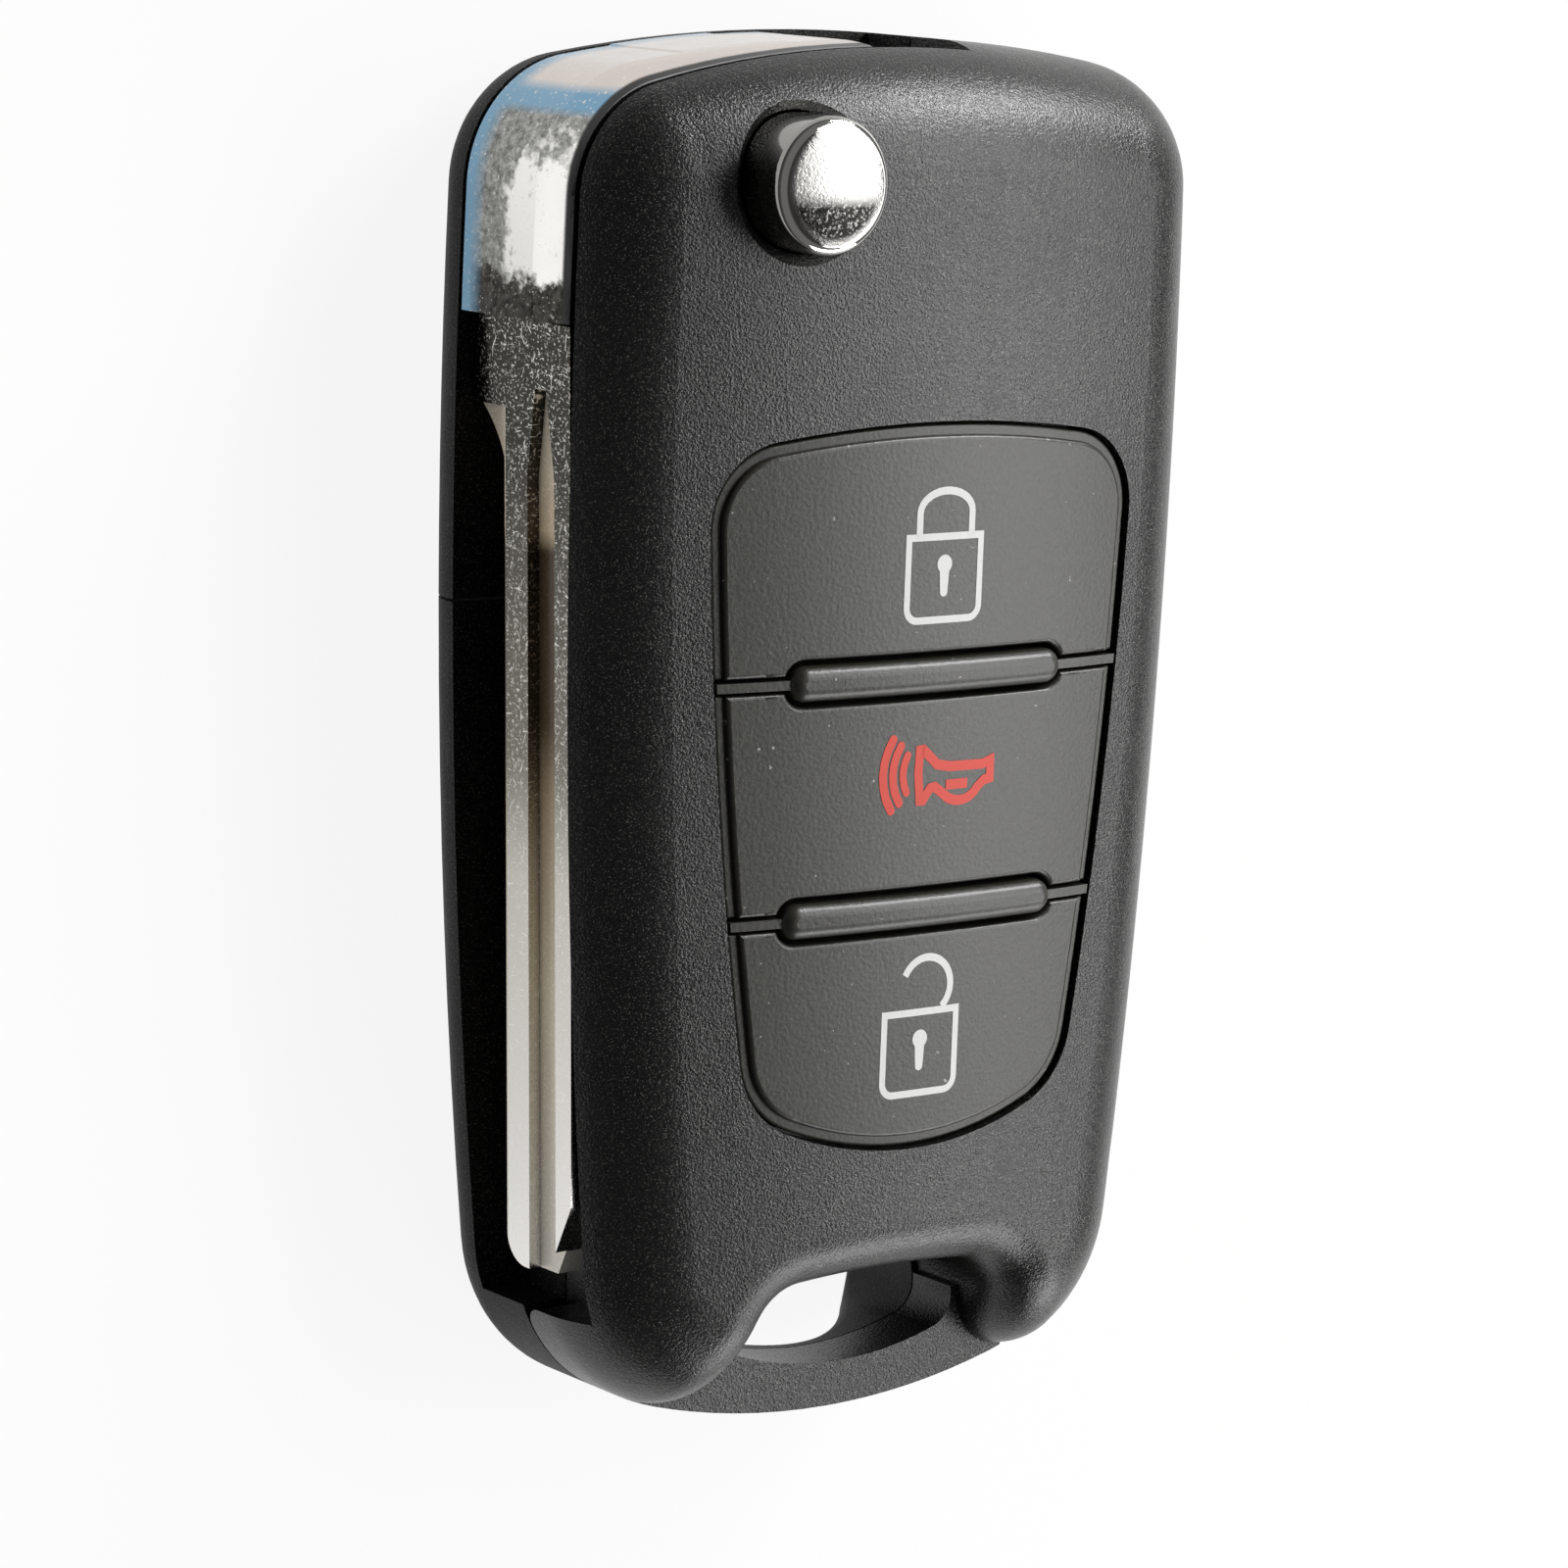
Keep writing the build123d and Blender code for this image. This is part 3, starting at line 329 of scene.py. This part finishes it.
keypad_grey, tree, shader, place = new_finish("keypad_grey", (0.02, 0.02, 0.019), roughness=0.36)
tooth = noise(tree, place, scale=4200, detail=3.0, rough=0.6)
dust = remap(tree, noise(tree, place, scale=1900, detail=3.0, rough=0.6), 0.715, 0.745)
tone = blend(tree, remap(tree, tooth, 0.35, 0.65), hollow_olive, raised_olive)
tree.links.new(blend(tree, dust, tone, dust_grey), shader.inputs["Base Color"])
bump(tree, shader, tooth, strength=0.6, depth=0.03 * mm)
dress(keypad_grey, "keypad_frame", "lock_button", "panic_button", "unlock_button")

# %% [markdown]
# ### Polished head
# The head is a die casting with a plated skin, and its colour is laid on in zones of painted
# reflection. Towards the front it is a bright painted reflection, with a ragged, slanting edge to a
# mottled grey of dimmer painted reflection. The end by the blade is a dark, brown painted reflection.
# The pivot end has a blue band and then a warm, pale end face, and the back edge is blue too, all of
# them painted reflection. A mirror finish alone would be even, so each zone is a run along Y or Z.
# Where a zone ends raggedly, noise is added to its run before the run is cut.

# %% Head zones
bright_z = (6.6 * mm, 8.8 * mm)
slant_y = (29.0 * mm, 33.6 * mm)
dark_y = (26.0 * mm, 23.8 * mm)
ragged_cut = (0.25, 0.6)

head_chrome, tree, shader, place = new_finish("head_chrome", (0.8, 0.79, 0.76), 0.1, metallic=1.0)
# Small specks of painted highlight, which take the pit glint colour below.
glint_specks = remap(tree, noise(tree, place, scale=4200, detail=3.0, rough=0.65), 0.61, 0.7, 0.0, 0.8)
mottle = remap(tree, noise(tree, place, scale=2200, detail=4.0, rough=0.7), 0.35, 0.65)
ragged_noise = noise(tree, place, scale=900, detail=4.0, rough=0.65)
ragged = remap(tree, ragged_noise, 0.3, 0.7, -0.4, 0.4)
# Both zones are painted reflection: bright towards the front, dark at the end by the blade.
to_front = calculate(tree, "ADD", along_axis(tree, place, "Z", *bright_z), ragged)
to_front = calculate(tree, "SUBTRACT", to_front, along_axis(tree, place, "Y", *slant_y))
bright_reflection_zone = remap(tree, to_front, *ragged_cut)
to_blade = calculate(tree, "ADD", along_axis(tree, place, "Y", *dark_y), ragged)
dark_reflection_zone = remap(tree, to_blade, *ragged_cut)
print("the head's dark end is full below", round(dark_y[1] / mm, 1), "mm along Y")

# %% [markdown]
# The colours go on in layers, each over the last: the bright front over the mottled grey, then the
# dark end, the two bands at the pivot end, the back edge, and the painted glints in small specks. All
# of these but the glints are painted reflection. Along the front edge a near-black band is painted
# shade, and there the shader is no mirror.

# %% Head colours
# Painted colours: reflection in the bright, grey, brown, blue and warm pale zones, and painted shade in
# the near black of the front edge.
bright_reflection, edge_shade_black, pit_glint = (0.97, 0.96, 0.93), (0.01, 0.01, 0.01), (0.8, 0.78, 0.73)
dark_grey, light_grey = (0.13, 0.13, 0.12), (0.42, 0.42, 0.4)
dark_brown, light_brown = (0.016, 0.015, 0.012), (0.09, 0.085, 0.075)
blue_reflection, warm_reflection = (0.2, 0.36, 0.5), (0.66, 0.6, 0.56)
blue_band_y, end_face_y = (33.3 * mm, 33.8 * mm), (34.5 * mm, 35.0 * mm)
back_edge_z = (5.6 * mm, 4.4 * mm)
head_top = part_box("blade_head")[1][2]
# Where the band of painted shade along the front edge lies.
dark_edge_z = (head_top - 0.5 * mm, head_top - 0.35 * mm)

skin = blend(tree, bright_reflection_zone, blend(tree, mottle, dark_grey, light_grey), bright_reflection)
skin = blend(tree, dark_reflection_zone, skin, blend(tree, mottle, dark_brown, light_brown))
skin = blend(tree, along_axis(tree, place, "Y", *blue_band_y), skin, blue_reflection)
skin = blend(tree, along_axis(tree, place, "Y", *end_face_y), skin, warm_reflection)
skin = blend(tree, along_axis(tree, place, "Z", *back_edge_z), skin, blue_reflection)
skin = blend(tree, glint_specks, skin, pit_glint)
# The front edge is a band of painted shade, near black and not metallic.
dark_edge = along_axis(tree, place, "Z", *dark_edge_z)
tree.links.new(blend(tree, dark_edge, skin, edge_shade_black), shader.inputs["Base Color"])
tree.links.new(remap(tree, dark_edge, 0, 1, to_low=1, to_high=0), shader.inputs["Metallic"])
tree.links.new(remap(tree, ragged_noise, 0.3, 0.7, to_low=0.07, to_high=0.2), shader.inputs["Roughness"])
ripples = noise(tree, place, scale=1500, detail=3.0, rough=0.6)
bump(tree, shader, ripples, strength=0.3, depth=0.02 * mm)
dress(head_chrome, "blade_head")
print("the head's front edge is at", round(head_top / mm, 2), "mm")

# %% [markdown]
# ### Worn nickel blade
# The blade is nickel plated and tumbled, so its skin is covered in fine scratches that run every way.
# Drawn lines would be many pieces for little, so each run of scratches is a noise that is squeezed
# across and drawn out along one direction, then cut near its top. Five runs at five angles cover the
# blade, and a round noise adds specks.


# %% Scratches
def scratches(tree, place, turn, scale_along, scale_across, cut):
    """Fine lines in one direction, turned about X by an angle in degrees."""
    mapping = tree.nodes.new("ShaderNodeMapping")
    mapping.vector_type = "TEXTURE"
    mapping.inputs["Rotation"].default_value = (math.radians(turn), 0, 0)
    mapping.inputs["Scale"].default_value = (1 / scale_along, 1 / scale_along, 1 / scale_across)
    tree.links.new(place, mapping.inputs["Vector"])
    stretched = noise(tree, mapping.outputs["Vector"], scale=1.0, detail=1.0)
    return remap(tree, stretched, cut, cut + 0.05)


blade_nickel, tree, shader, place = new_finish("blade_nickel", (0.7, 0.68, 0.63), 0.3, metallic=1.0)
# For each run: its turn, its scale along and across, and where its noise is cut
scratch_runs = (
    (25, 900, 9000, 0.7),
    (-40, 1100, 8200, 0.71),
    (80, 800, 9500, 0.71),
    (-75, 1200, 7600, 0.71),
    (5, 900, 8800, 0.71),
)
lines, *other_lines = [scratches(tree, place, *run) for run in scratch_runs]
for more_lines in other_lines:
    lines = calculate(tree, "MAXIMUM", lines, more_lines)
specks = remap(tree, noise(tree, place, scale=5600, detail=3.0, rough=0.7), 0.57, 0.65)
print("runs of scratches:", len(scratch_runs))

# %% [markdown]
# The skin is a painted reflection, dark near the head and bright towards the tip, the scratches and
# specks are brighter than the skin between them, and the milled metal has a warm tone of its own,
# with a dark stretch and bright ends of painted reflection. One colour each would look flat, so all
# three are runs of colours along the blade, from the tip at 0 to the head at 1.

# %% Colours along the blade
tip_y, head_y = -28 * mm, 23 * mm
tip_to_head = along_axis(tree, place, "Y", tip_y, head_y)
# The skin's run is a painted reflection: near white at the tip and near black by the head.
reflected_skin = colour_run(tree, tip_to_head, (
    (0.0, (1.0, 0.98, 0.95)),
    (0.42, (0.68, 0.65, 0.59)),
    (0.54, (0.24, 0.225, 0.19)),
    (0.86, (0.055, 0.052, 0.045)),
    (0.97, (0.05, 0.047, 0.04)),
))
bright_skin = colour_run(tree, tip_to_head, (
    (0.0, (1.0, 0.99, 0.97)),
    (0.5, (0.9, 0.88, 0.83)),
    (1.0, (0.95, 0.93, 0.87)),
))
skin = blend(tree, calculate(tree, "MAXIMUM", specks, lines), reflected_skin, bright_skin)
# The milled run has a warm tone of its own, with a dark stretch and bright ends of painted reflection.
milled_tone_and_reflection = colour_run(tree, tip_to_head, (
    (0.0, (1.0, 0.95, 0.84)),
    (0.3, (1.0, 0.88, 0.67)),
    (0.5, (0.6, 0.46, 0.3)),
    (0.58, (0.13, 0.085, 0.045)),
    (0.76, (0.1, 0.066, 0.035)),
    (0.78, (0.95, 0.76, 0.52)),
    (0.95, (1.0, 0.94, 0.82)),
))
print("the blade's colours run over", round((head_y - tip_y) / mm), "mm")

# %% [markdown]
# The milled metal is the floor of the lengthwise groove and the sunken ledge at the step, where the
# blade gets narrower; the ledge's bright colour is a painted highlight for a bevel there. Both could
# be picked out face by face, but a CAD node's mesh is left alone, so their known places serve as a
# mask. The groove tapers to its end by the head, so its half width is a value along Y. A polished
# groove would mirror the dark slot, so what is milled is mostly not metallic.

# %% Milled groove and ledge
groove_middle, groove_width, groove_end_width = 9.825 * mm, 2.45 * mm, 1.0 * mm
groove_end_y, groove_full_y = 19.3 * mm, 14.7 * mm
ledge_z, ledge_y = 6.6 * mm, 18.1 * mm
soft_edge = 0.05 * mm
milled_metallic = 0.15

axes = tree.nodes.new("ShaderNodeSeparateXYZ")
tree.links.new(place, axes.inputs[0])
along, height = axes.outputs["Y"], axes.outputs["Z"]
half_groove = remap(tree, along, groove_full_y, groove_end_y, groove_width / 2, groove_end_width / 2)
off_middle = calculate(tree, "ABSOLUTE", calculate(tree, "SUBTRACT", height, groove_middle))
in_width = remap(tree, calculate(tree, "SUBTRACT", half_groove, off_middle), 0, soft_edge)
in_length = remap(tree, along, groove_end_y, groove_end_y + soft_edge, 1, 0)
in_groove = calculate(tree, "MULTIPLY", in_width, in_length)
# The ledge takes the milled run's bright colours as a painted highlight.
below_ledge = remap(tree, height, ledge_z - soft_edge, ledge_z, 1, 0)
before_ledge_end = remap(tree, along, ledge_y - soft_edge, ledge_y, 1, 0)
ledge_highlight = calculate(tree, "MULTIPLY", below_ledge, before_ledge_end)
groove_and_ledge = calculate(tree, "MAXIMUM", in_groove, ledge_highlight)

tree.links.new(blend(tree, groove_and_ledge, skin, milled_tone_and_reflection), shader.inputs["Base Color"])
tree.links.new(remap(tree, groove_and_ledge, 0, 1, 1, milled_metallic), shader.inputs["Metallic"])
tree.links.new(remap(tree, specks, 0, 1, to_low=0.24, to_high=0.4), shader.inputs["Roughness"])
bump(tree, shader, lines, strength=0.25, depth=0.01 * mm)
dress(blade_nickel, "key_blade")

# %% [markdown]
# ### Frosted button
# The release button has a softly frosted top and a bright rim. Both are one plated part, so they
# aren't two pieces: the frost is a rougher, bumpier finish inside a circle about the pivot. The lower
# third of the top is painted shade, dark with bright sparkles of painted highlight, and the rim's
# colour is a painted reflection, a run by the distance from the pivot, grey at both ends and bright
# between.

# %% Circle about the pivot
frost_radius, rim_radius = 2.9 * mm, 3.6 * mm
frost_edge = (frost_radius - 0.3 * mm, frost_radius + 0.2 * mm)

button_chrome, tree, shader, place = new_finish("button_chrome", (0.82, 0.81, 0.79), 0.08, metallic=1.0)
button_low, button_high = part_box("release_button")
pivot = (Vector(button_low) + Vector(button_high)) / 2
centred = tree.nodes.new("ShaderNodeMapping")
centred.inputs["Location"].default_value = (-pivot.x, -pivot.y, 0)
centred.inputs["Scale"].default_value = (1, 1, 0)
tree.links.new(place, centred.inputs["Vector"])
distance = tree.nodes.new("ShaderNodeVectorMath")
distance.operation = "LENGTH"
tree.links.new(centred.outputs["Vector"], distance.inputs[0])
from_pivot = distance.outputs["Value"]
frost = remap(tree, from_pivot, *frost_edge, to_low=1, to_high=0)
print("release button:", [round(v / mm, 2) for v in pivot], "mm")

# %% Button finish
# The lower third of the top is painted shade with painted sparkles of highlight.
top_grey, shaded_grey, sparkle_grey = (0.4, 0.395, 0.38), (0.012, 0.012, 0.011), (0.2, 0.195, 0.185)
shade_y = (pivot.y - 0.2 * mm, pivot.y - 1.1 * mm)

pebbles = noise(tree, place, scale=5200, detail=3.0, rough=0.65)
shaded = blend(tree, remap(tree, pebbles, 0.53, 0.66), shaded_grey, sparkle_grey)
frost_and_shade = blend(tree, along_axis(tree, place, "Y", *shade_y), top_grey, shaded)
# The rim's run is a painted reflection: grey at both ends and a bright painted highlight between.
rim_reflection = colour_run(tree, remap(tree, from_pivot, frost_radius, rim_radius), (
    (0.3, (0.25, 0.245, 0.235)),
    (0.42, (1.0, 0.98, 0.95)),
    (0.74, (1.0, 0.98, 0.95)),
    (0.84, (0.3, 0.295, 0.28)),
))
tree.links.new(blend(tree, frost, rim_reflection, frost_and_shade), shader.inputs["Base Color"])
tree.links.new(remap(tree, frost, 0, 1, to_low=0.06, to_high=0.28), shader.inputs["Roughness"])
bump(tree, shader, calculate(tree, "MULTIPLY", pebbles, frost), strength=0.5, depth=0.05 * mm)
dress(button_chrome, "release_button")

# %% [markdown]
# ### Inner pieces
# What lies inside shows only when the cover is off or the blade is out, and still gets its own finish:
# dull zinc, sprung steel, solder mask, moulded packages and the steel can of the cell. One function
# makes them all, because they differ only in colour, gloss and the size of their grain.

# %% Inner finishes
metal, plastic = 1.0, 0.0


def plain_finish(name, colour, roughness, metallic, grain_scale, *nodes):
    """A finish with a slight grain in its tone, roughness and relief."""
    material, tree, shader, place = new_finish(name, colour, roughness, metallic)
    grain = noise(tree, place, grain_scale, detail=3.0, rough=0.6)
    darker = tuple(0.7 * c for c in colour)
    tree.links.new(blend(tree, grain, colour, darker), shader.inputs["Base Color"])
    gloss = remap(tree, grain, 0.3, 0.7, roughness - 0.06, roughness + 0.08)
    tree.links.new(gloss, shader.inputs["Roughness"])
    bump(tree, shader, grain, strength=0.3, depth=0.02 * mm)
    dress(material, *nodes)


plain_finish("shaft_zinc", (0.5, 0.5, 0.51), 0.38, metal, 2500, "lock_shaft")
plain_finish("spring_steel", (0.42, 0.41, 0.4), 0.3, metal, 3500, "flip_spring")
plain_finish("pin_steel", (0.6, 0.6, 0.6), 0.28, metal, 4000, "blade_pin", "spring_cup")
clips = ("battery_clip_negative", "battery_clip_positive")
plain_finish("clip_nickel", (0.72, 0.69, 0.62), 0.3, metal, 3500, *clips)
plain_finish("cell_steel", (0.66, 0.66, 0.66), 0.25, metal, 3000, "coin_cell")
plain_finish("can_metal", (0.7, 0.7, 0.69), 0.3, metal, 3000, "crystal")
plain_finish("board_green", (0.02, 0.13, 0.05), 0.35, plastic, 1200, "circuit_board")
plain_finish("membrane_rubber", (0.05, 0.05, 0.05), 0.75, plastic, 3000, "switch_membrane")
plain_finish("carrier_black", (0.035, 0.035, 0.035), 0.5, plastic, 4000, "board_carrier")
switches = ("lock_switch", "panic_switch", "unlock_switch")
plain_finish("switch_dark", (0.045, 0.045, 0.05), 0.35, plastic, 3000, *switches)
plain_finish("chip_black", (0.025, 0.025, 0.025), 0.55, plastic, 5000, "control_chip", "radio_chip")
plain_finish("ceramic_black", (0.03, 0.03, 0.03), 0.6, plastic, 3000, "transponder_chip")
print("finishes:", sorted(m.name for m in bpy.data.materials))

# %% [markdown]
# ## Printed signs
# A closed padlock, a horn and an open padlock are printed on the three buttons. A picture on the
# button would have no shape of its own, and a filled curve has long flat faces that would sink into
# the crown. So each sign is drawn flat in millimetres, as strokes along lines and arcs, and then laid
# on the crowned face: every corner takes the height of the crown, whose radius is known, plus the
# thickness of the ink. Strokes are cut into short steps first, so that they bend with the crown.


# %% Points along lines and arcs
def arc(centre, radii, start, end, widest=12):
    """Points along an arc of an ellipse, in degrees from the right, at most the widest step apart."""
    steps = max(2, math.ceil(abs(end - start) / widest))
    angles = [math.radians(start + (end - start) * i / steps) for i in range(steps + 1)]
    return [(centre[0] + radii[0] * math.cos(a), centre[1] + radii[1] * math.sin(a)) for a in angles]


def short_steps(line, longest=0.5):
    """The line again, with points added so that no step is longer than the longest."""
    points = [line[0]]
    for a, b in zip(line, line[1:]):
        count = max(1, math.ceil(math.dist(a, b) / longest))
        points += [tuple(p + (q - p) * i / count for p, q in zip(a, b)) for i in range(1, count + 1)]
    return points


print("a line of 2 mm gets", len(short_steps([(0, 0), (2, 0)])), "points")


# %% Strokes and dots
def stroke(line, width, closed=False):
    """Quads of even width along a line. Its corners are mitred, and a closed line meets itself."""
    points = short_steps([*line, line[0]] if closed else line)
    last = len(points) - 1
    edges = []
    for i, point in enumerate(points):
        before = points[i - 1] if i else points[-2 if closed else 0]
        after = points[i + 1] if i < last else points[1 if closed else last]
        runs = [Vector(b) - Vector(a) for a, b in ((before, point), (point, after)) if a != b]
        runs = [run.normalized() for run in runs]
        middle = sum(runs, Vector((0, 0))).normalized()
        side = middle.orthogonal() * width / 2 / max(0.5, middle.dot(runs[0]))
        edges.append((Vector(point) + side, Vector(point) - side))
    return [(a[0], a[1], b[1], b[0]) for a, b in zip(edges, edges[1:])]


def dot(centre, radius):
    """One round face, which rounds off the end of a stroke."""
    return [arc(centre, (radius, radius), 0, 360)[:-1]]


print("a stroke of 2 mm has", len(stroke([(0, 0), (2, 0)], 0.4)), "quads")

# %% [markdown]
# ### Ink
# The signs are matt printing ink, a little uneven where the tooth of the button shows through. One
# noise thins the colour and lifts the relief at the same spots.


# %% Inks
def ink(name, colour):
    """Matt ink, thinner where its noise is low."""
    material, tree, shader, place = new_finish(name, colour, roughness=0.5)
    tooth = noise(tree, place, scale=3800, detail=3.0, rough=0.6)
    cover = remap(tree, tooth, 0.3, 0.5, 0.8, 1.0)
    thin = tuple(0.8 * c for c in colour)
    tree.links.new(blend(tree, cover, thin, colour), shader.inputs["Base Color"])
    bump(tree, shader, tooth, strength=0.3, depth=0.02 * mm)
    return material


white_ink = ink("white_ink", (0.62, 0.62, 0.61))
red_ink = ink("red_ink", (0.56, 0.03, 0.01))
print("inks:", white_ink.name, red_ink.name)

# %% [markdown]
# ### From flat shapes to a sign
# A sign has some hundred small faces, each with its own height, so its mesh is written corner by corner
# and not modelled by hand. Corners that meet are merged, round faces are cut into triangles, and every
# face is turned to look up. The sign rides on its button's body, so it sinks with it when pressed.

# %% Lay a sign on the crown
crown_radius, crown_top, ink_height = 100.0, 17.0, 0.02
merge_distance = 0.001 * mm


def print_sign(name, shapes, material, body):
    """Lays flat shapes in millimetres on the crowned button and lets them ride on its body."""
    sheet = bmesh.new()
    for corners in shapes:
        heights = [crown_top - crown_radius + math.sqrt(crown_radius**2 - x**2) for x, _ in corners]
        places = [(x * mm, y * mm, (z + ink_height) * mm) for (x, y), z in zip(corners, heights)]
        sheet.faces.new([sheet.verts.new(p) for p in places])
    bmesh.ops.remove_doubles(sheet, verts=sheet.verts[:], dist=merge_distance)
    bmesh.ops.triangulate(sheet, faces=[f for f in sheet.faces if len(f.verts) > 4])
    for face in sheet.faces:
        face.normal_update()
        if face.normal.z < 0:
            face.normal_flip()
    mesh = bpy.data.meshes.new(name)
    sheet.to_mesh(mesh)
    sheet.free()
    sign = bpy.data.objects.new(name, mesh)
    bpy.context.scene.collection.objects.link(sign)
    sign.data.materials.append(material)
    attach(sign, body)
    print(name, "has", len(mesh.polygons), "faces")


# %% [markdown]
# ### The padlocks
# Both padlocks are a square body with rounded lower corners, a keyhole and a shackle. The closed one
# has an upright shackle with two straight legs. The open one has a shackle that has swung round and
# stands on one foot only, so it is a plain arc. All their measures are in millimetres.

# %% Padlock's body
lock_width, lock_height, lock_corner, lock_line = 4.9, 4.45, 0.7, 0.39
keyhole_reach, keyhole_radius, keyhole_foot = 0.75, 0.5, 0.25


def lock_body(middle):
    """The outline of the padlock's body and its keyhole, which widens to a round head at its top."""
    x, y = middle
    half_width, half_height = lock_width / 2, lock_height / 2
    corner = (lock_corner, lock_corner)
    outline = [(x - half_width, y + half_height), (x + half_width, y + half_height)]
    outline += arc((x + half_width - lock_corner, y - half_height + lock_corner), corner, 0, -90)
    outline += arc((x - half_width + lock_corner, y - half_height + lock_corner), corner, -90, -180)
    keyhole = arc((x, y + keyhole_reach), (keyhole_radius, keyhole_radius), -50, 230)
    keyhole += arc((x, y - keyhole_reach), (keyhole_foot, keyhole_foot), 180, 360)
    return stroke(outline, lock_line, closed=True) + [keyhole]


# %% Closed padlock
closed_lock = (1.19, 9.33)
shackle_width, shackle_line = 3.55, 0.42
shackle_leg, shackle_rise = 1.3, 1.15

foot_y = closed_lock[1] + lock_height / 2
shackle = [(closed_lock[0] + shackle_width / 2, foot_y)]
shackle += arc((closed_lock[0], foot_y + shackle_leg), (shackle_width / 2, shackle_rise), 0, 180)
shackle += [(closed_lock[0] - shackle_width / 2, foot_y)]
print_sign("lock_sign", lock_body(closed_lock) + stroke(shackle, shackle_line), white_ink, "lock_key")

# %% Open padlock
open_lock = (0.83, -16.4)
swung_middle = (open_lock[0] + 0.32, open_lock[1] + 3.6)
swung_radii = (1.65, 1.6)

swung = arc(swung_middle, swung_radii, 155, -48)
print_sign("unlock_sign", lock_body(open_lock) + stroke(swung, shackle_line), white_ink, "unlock_key")

# %% [markdown]
# ### The horn
# The horn is one closed stroke round its bell, tube and mouthpiece, with a short bar inside. Its
# outline has only the corners that the shape needs, and one arc for the belly under the tube. Three
# sound waves are arcs about one point in the bell, and a dot rounds off each of their ends.

# %% Horn
horn_line = 0.55
bell = [(-0.02, -1.1), (0.04, 0.12), (0.27, 0.14), (1.25, -0.72), (2.1, -0.88)]
mouthpiece = [(4.4, -0.92), (4.98, -0.74), (5.0, -1.72), (4.55, -1.8)]
belly = arc((2.85, -1.75), (1.35, 1.02), -25, -140)
lower_bell = [(1.15, -1.93), (0.82, -1.98), (0.36, -2.6), (0.14, -2.6)]
bar = [(1.9, -1.87), (3.4, -1.87)]
shapes = stroke(bell + mouthpiece + belly + lower_bell, horn_line, closed=True)
shapes += stroke(bar, horn_line)

waves_middle = (0.95, -1.1)
for radius, half_angle, width in ((3.33, 35, 0.52), (2.68, 35, 0.5), (2.0, 30, 0.46)):
    wave = arc(waves_middle, (radius, radius), 180 - half_angle, 180 + half_angle)
    shapes += stroke(wave, width) + dot(wave[0], width / 2) + dot(wave[-1], width / 2)
print_sign("panic_sign", shapes, red_ink, "panic_key")
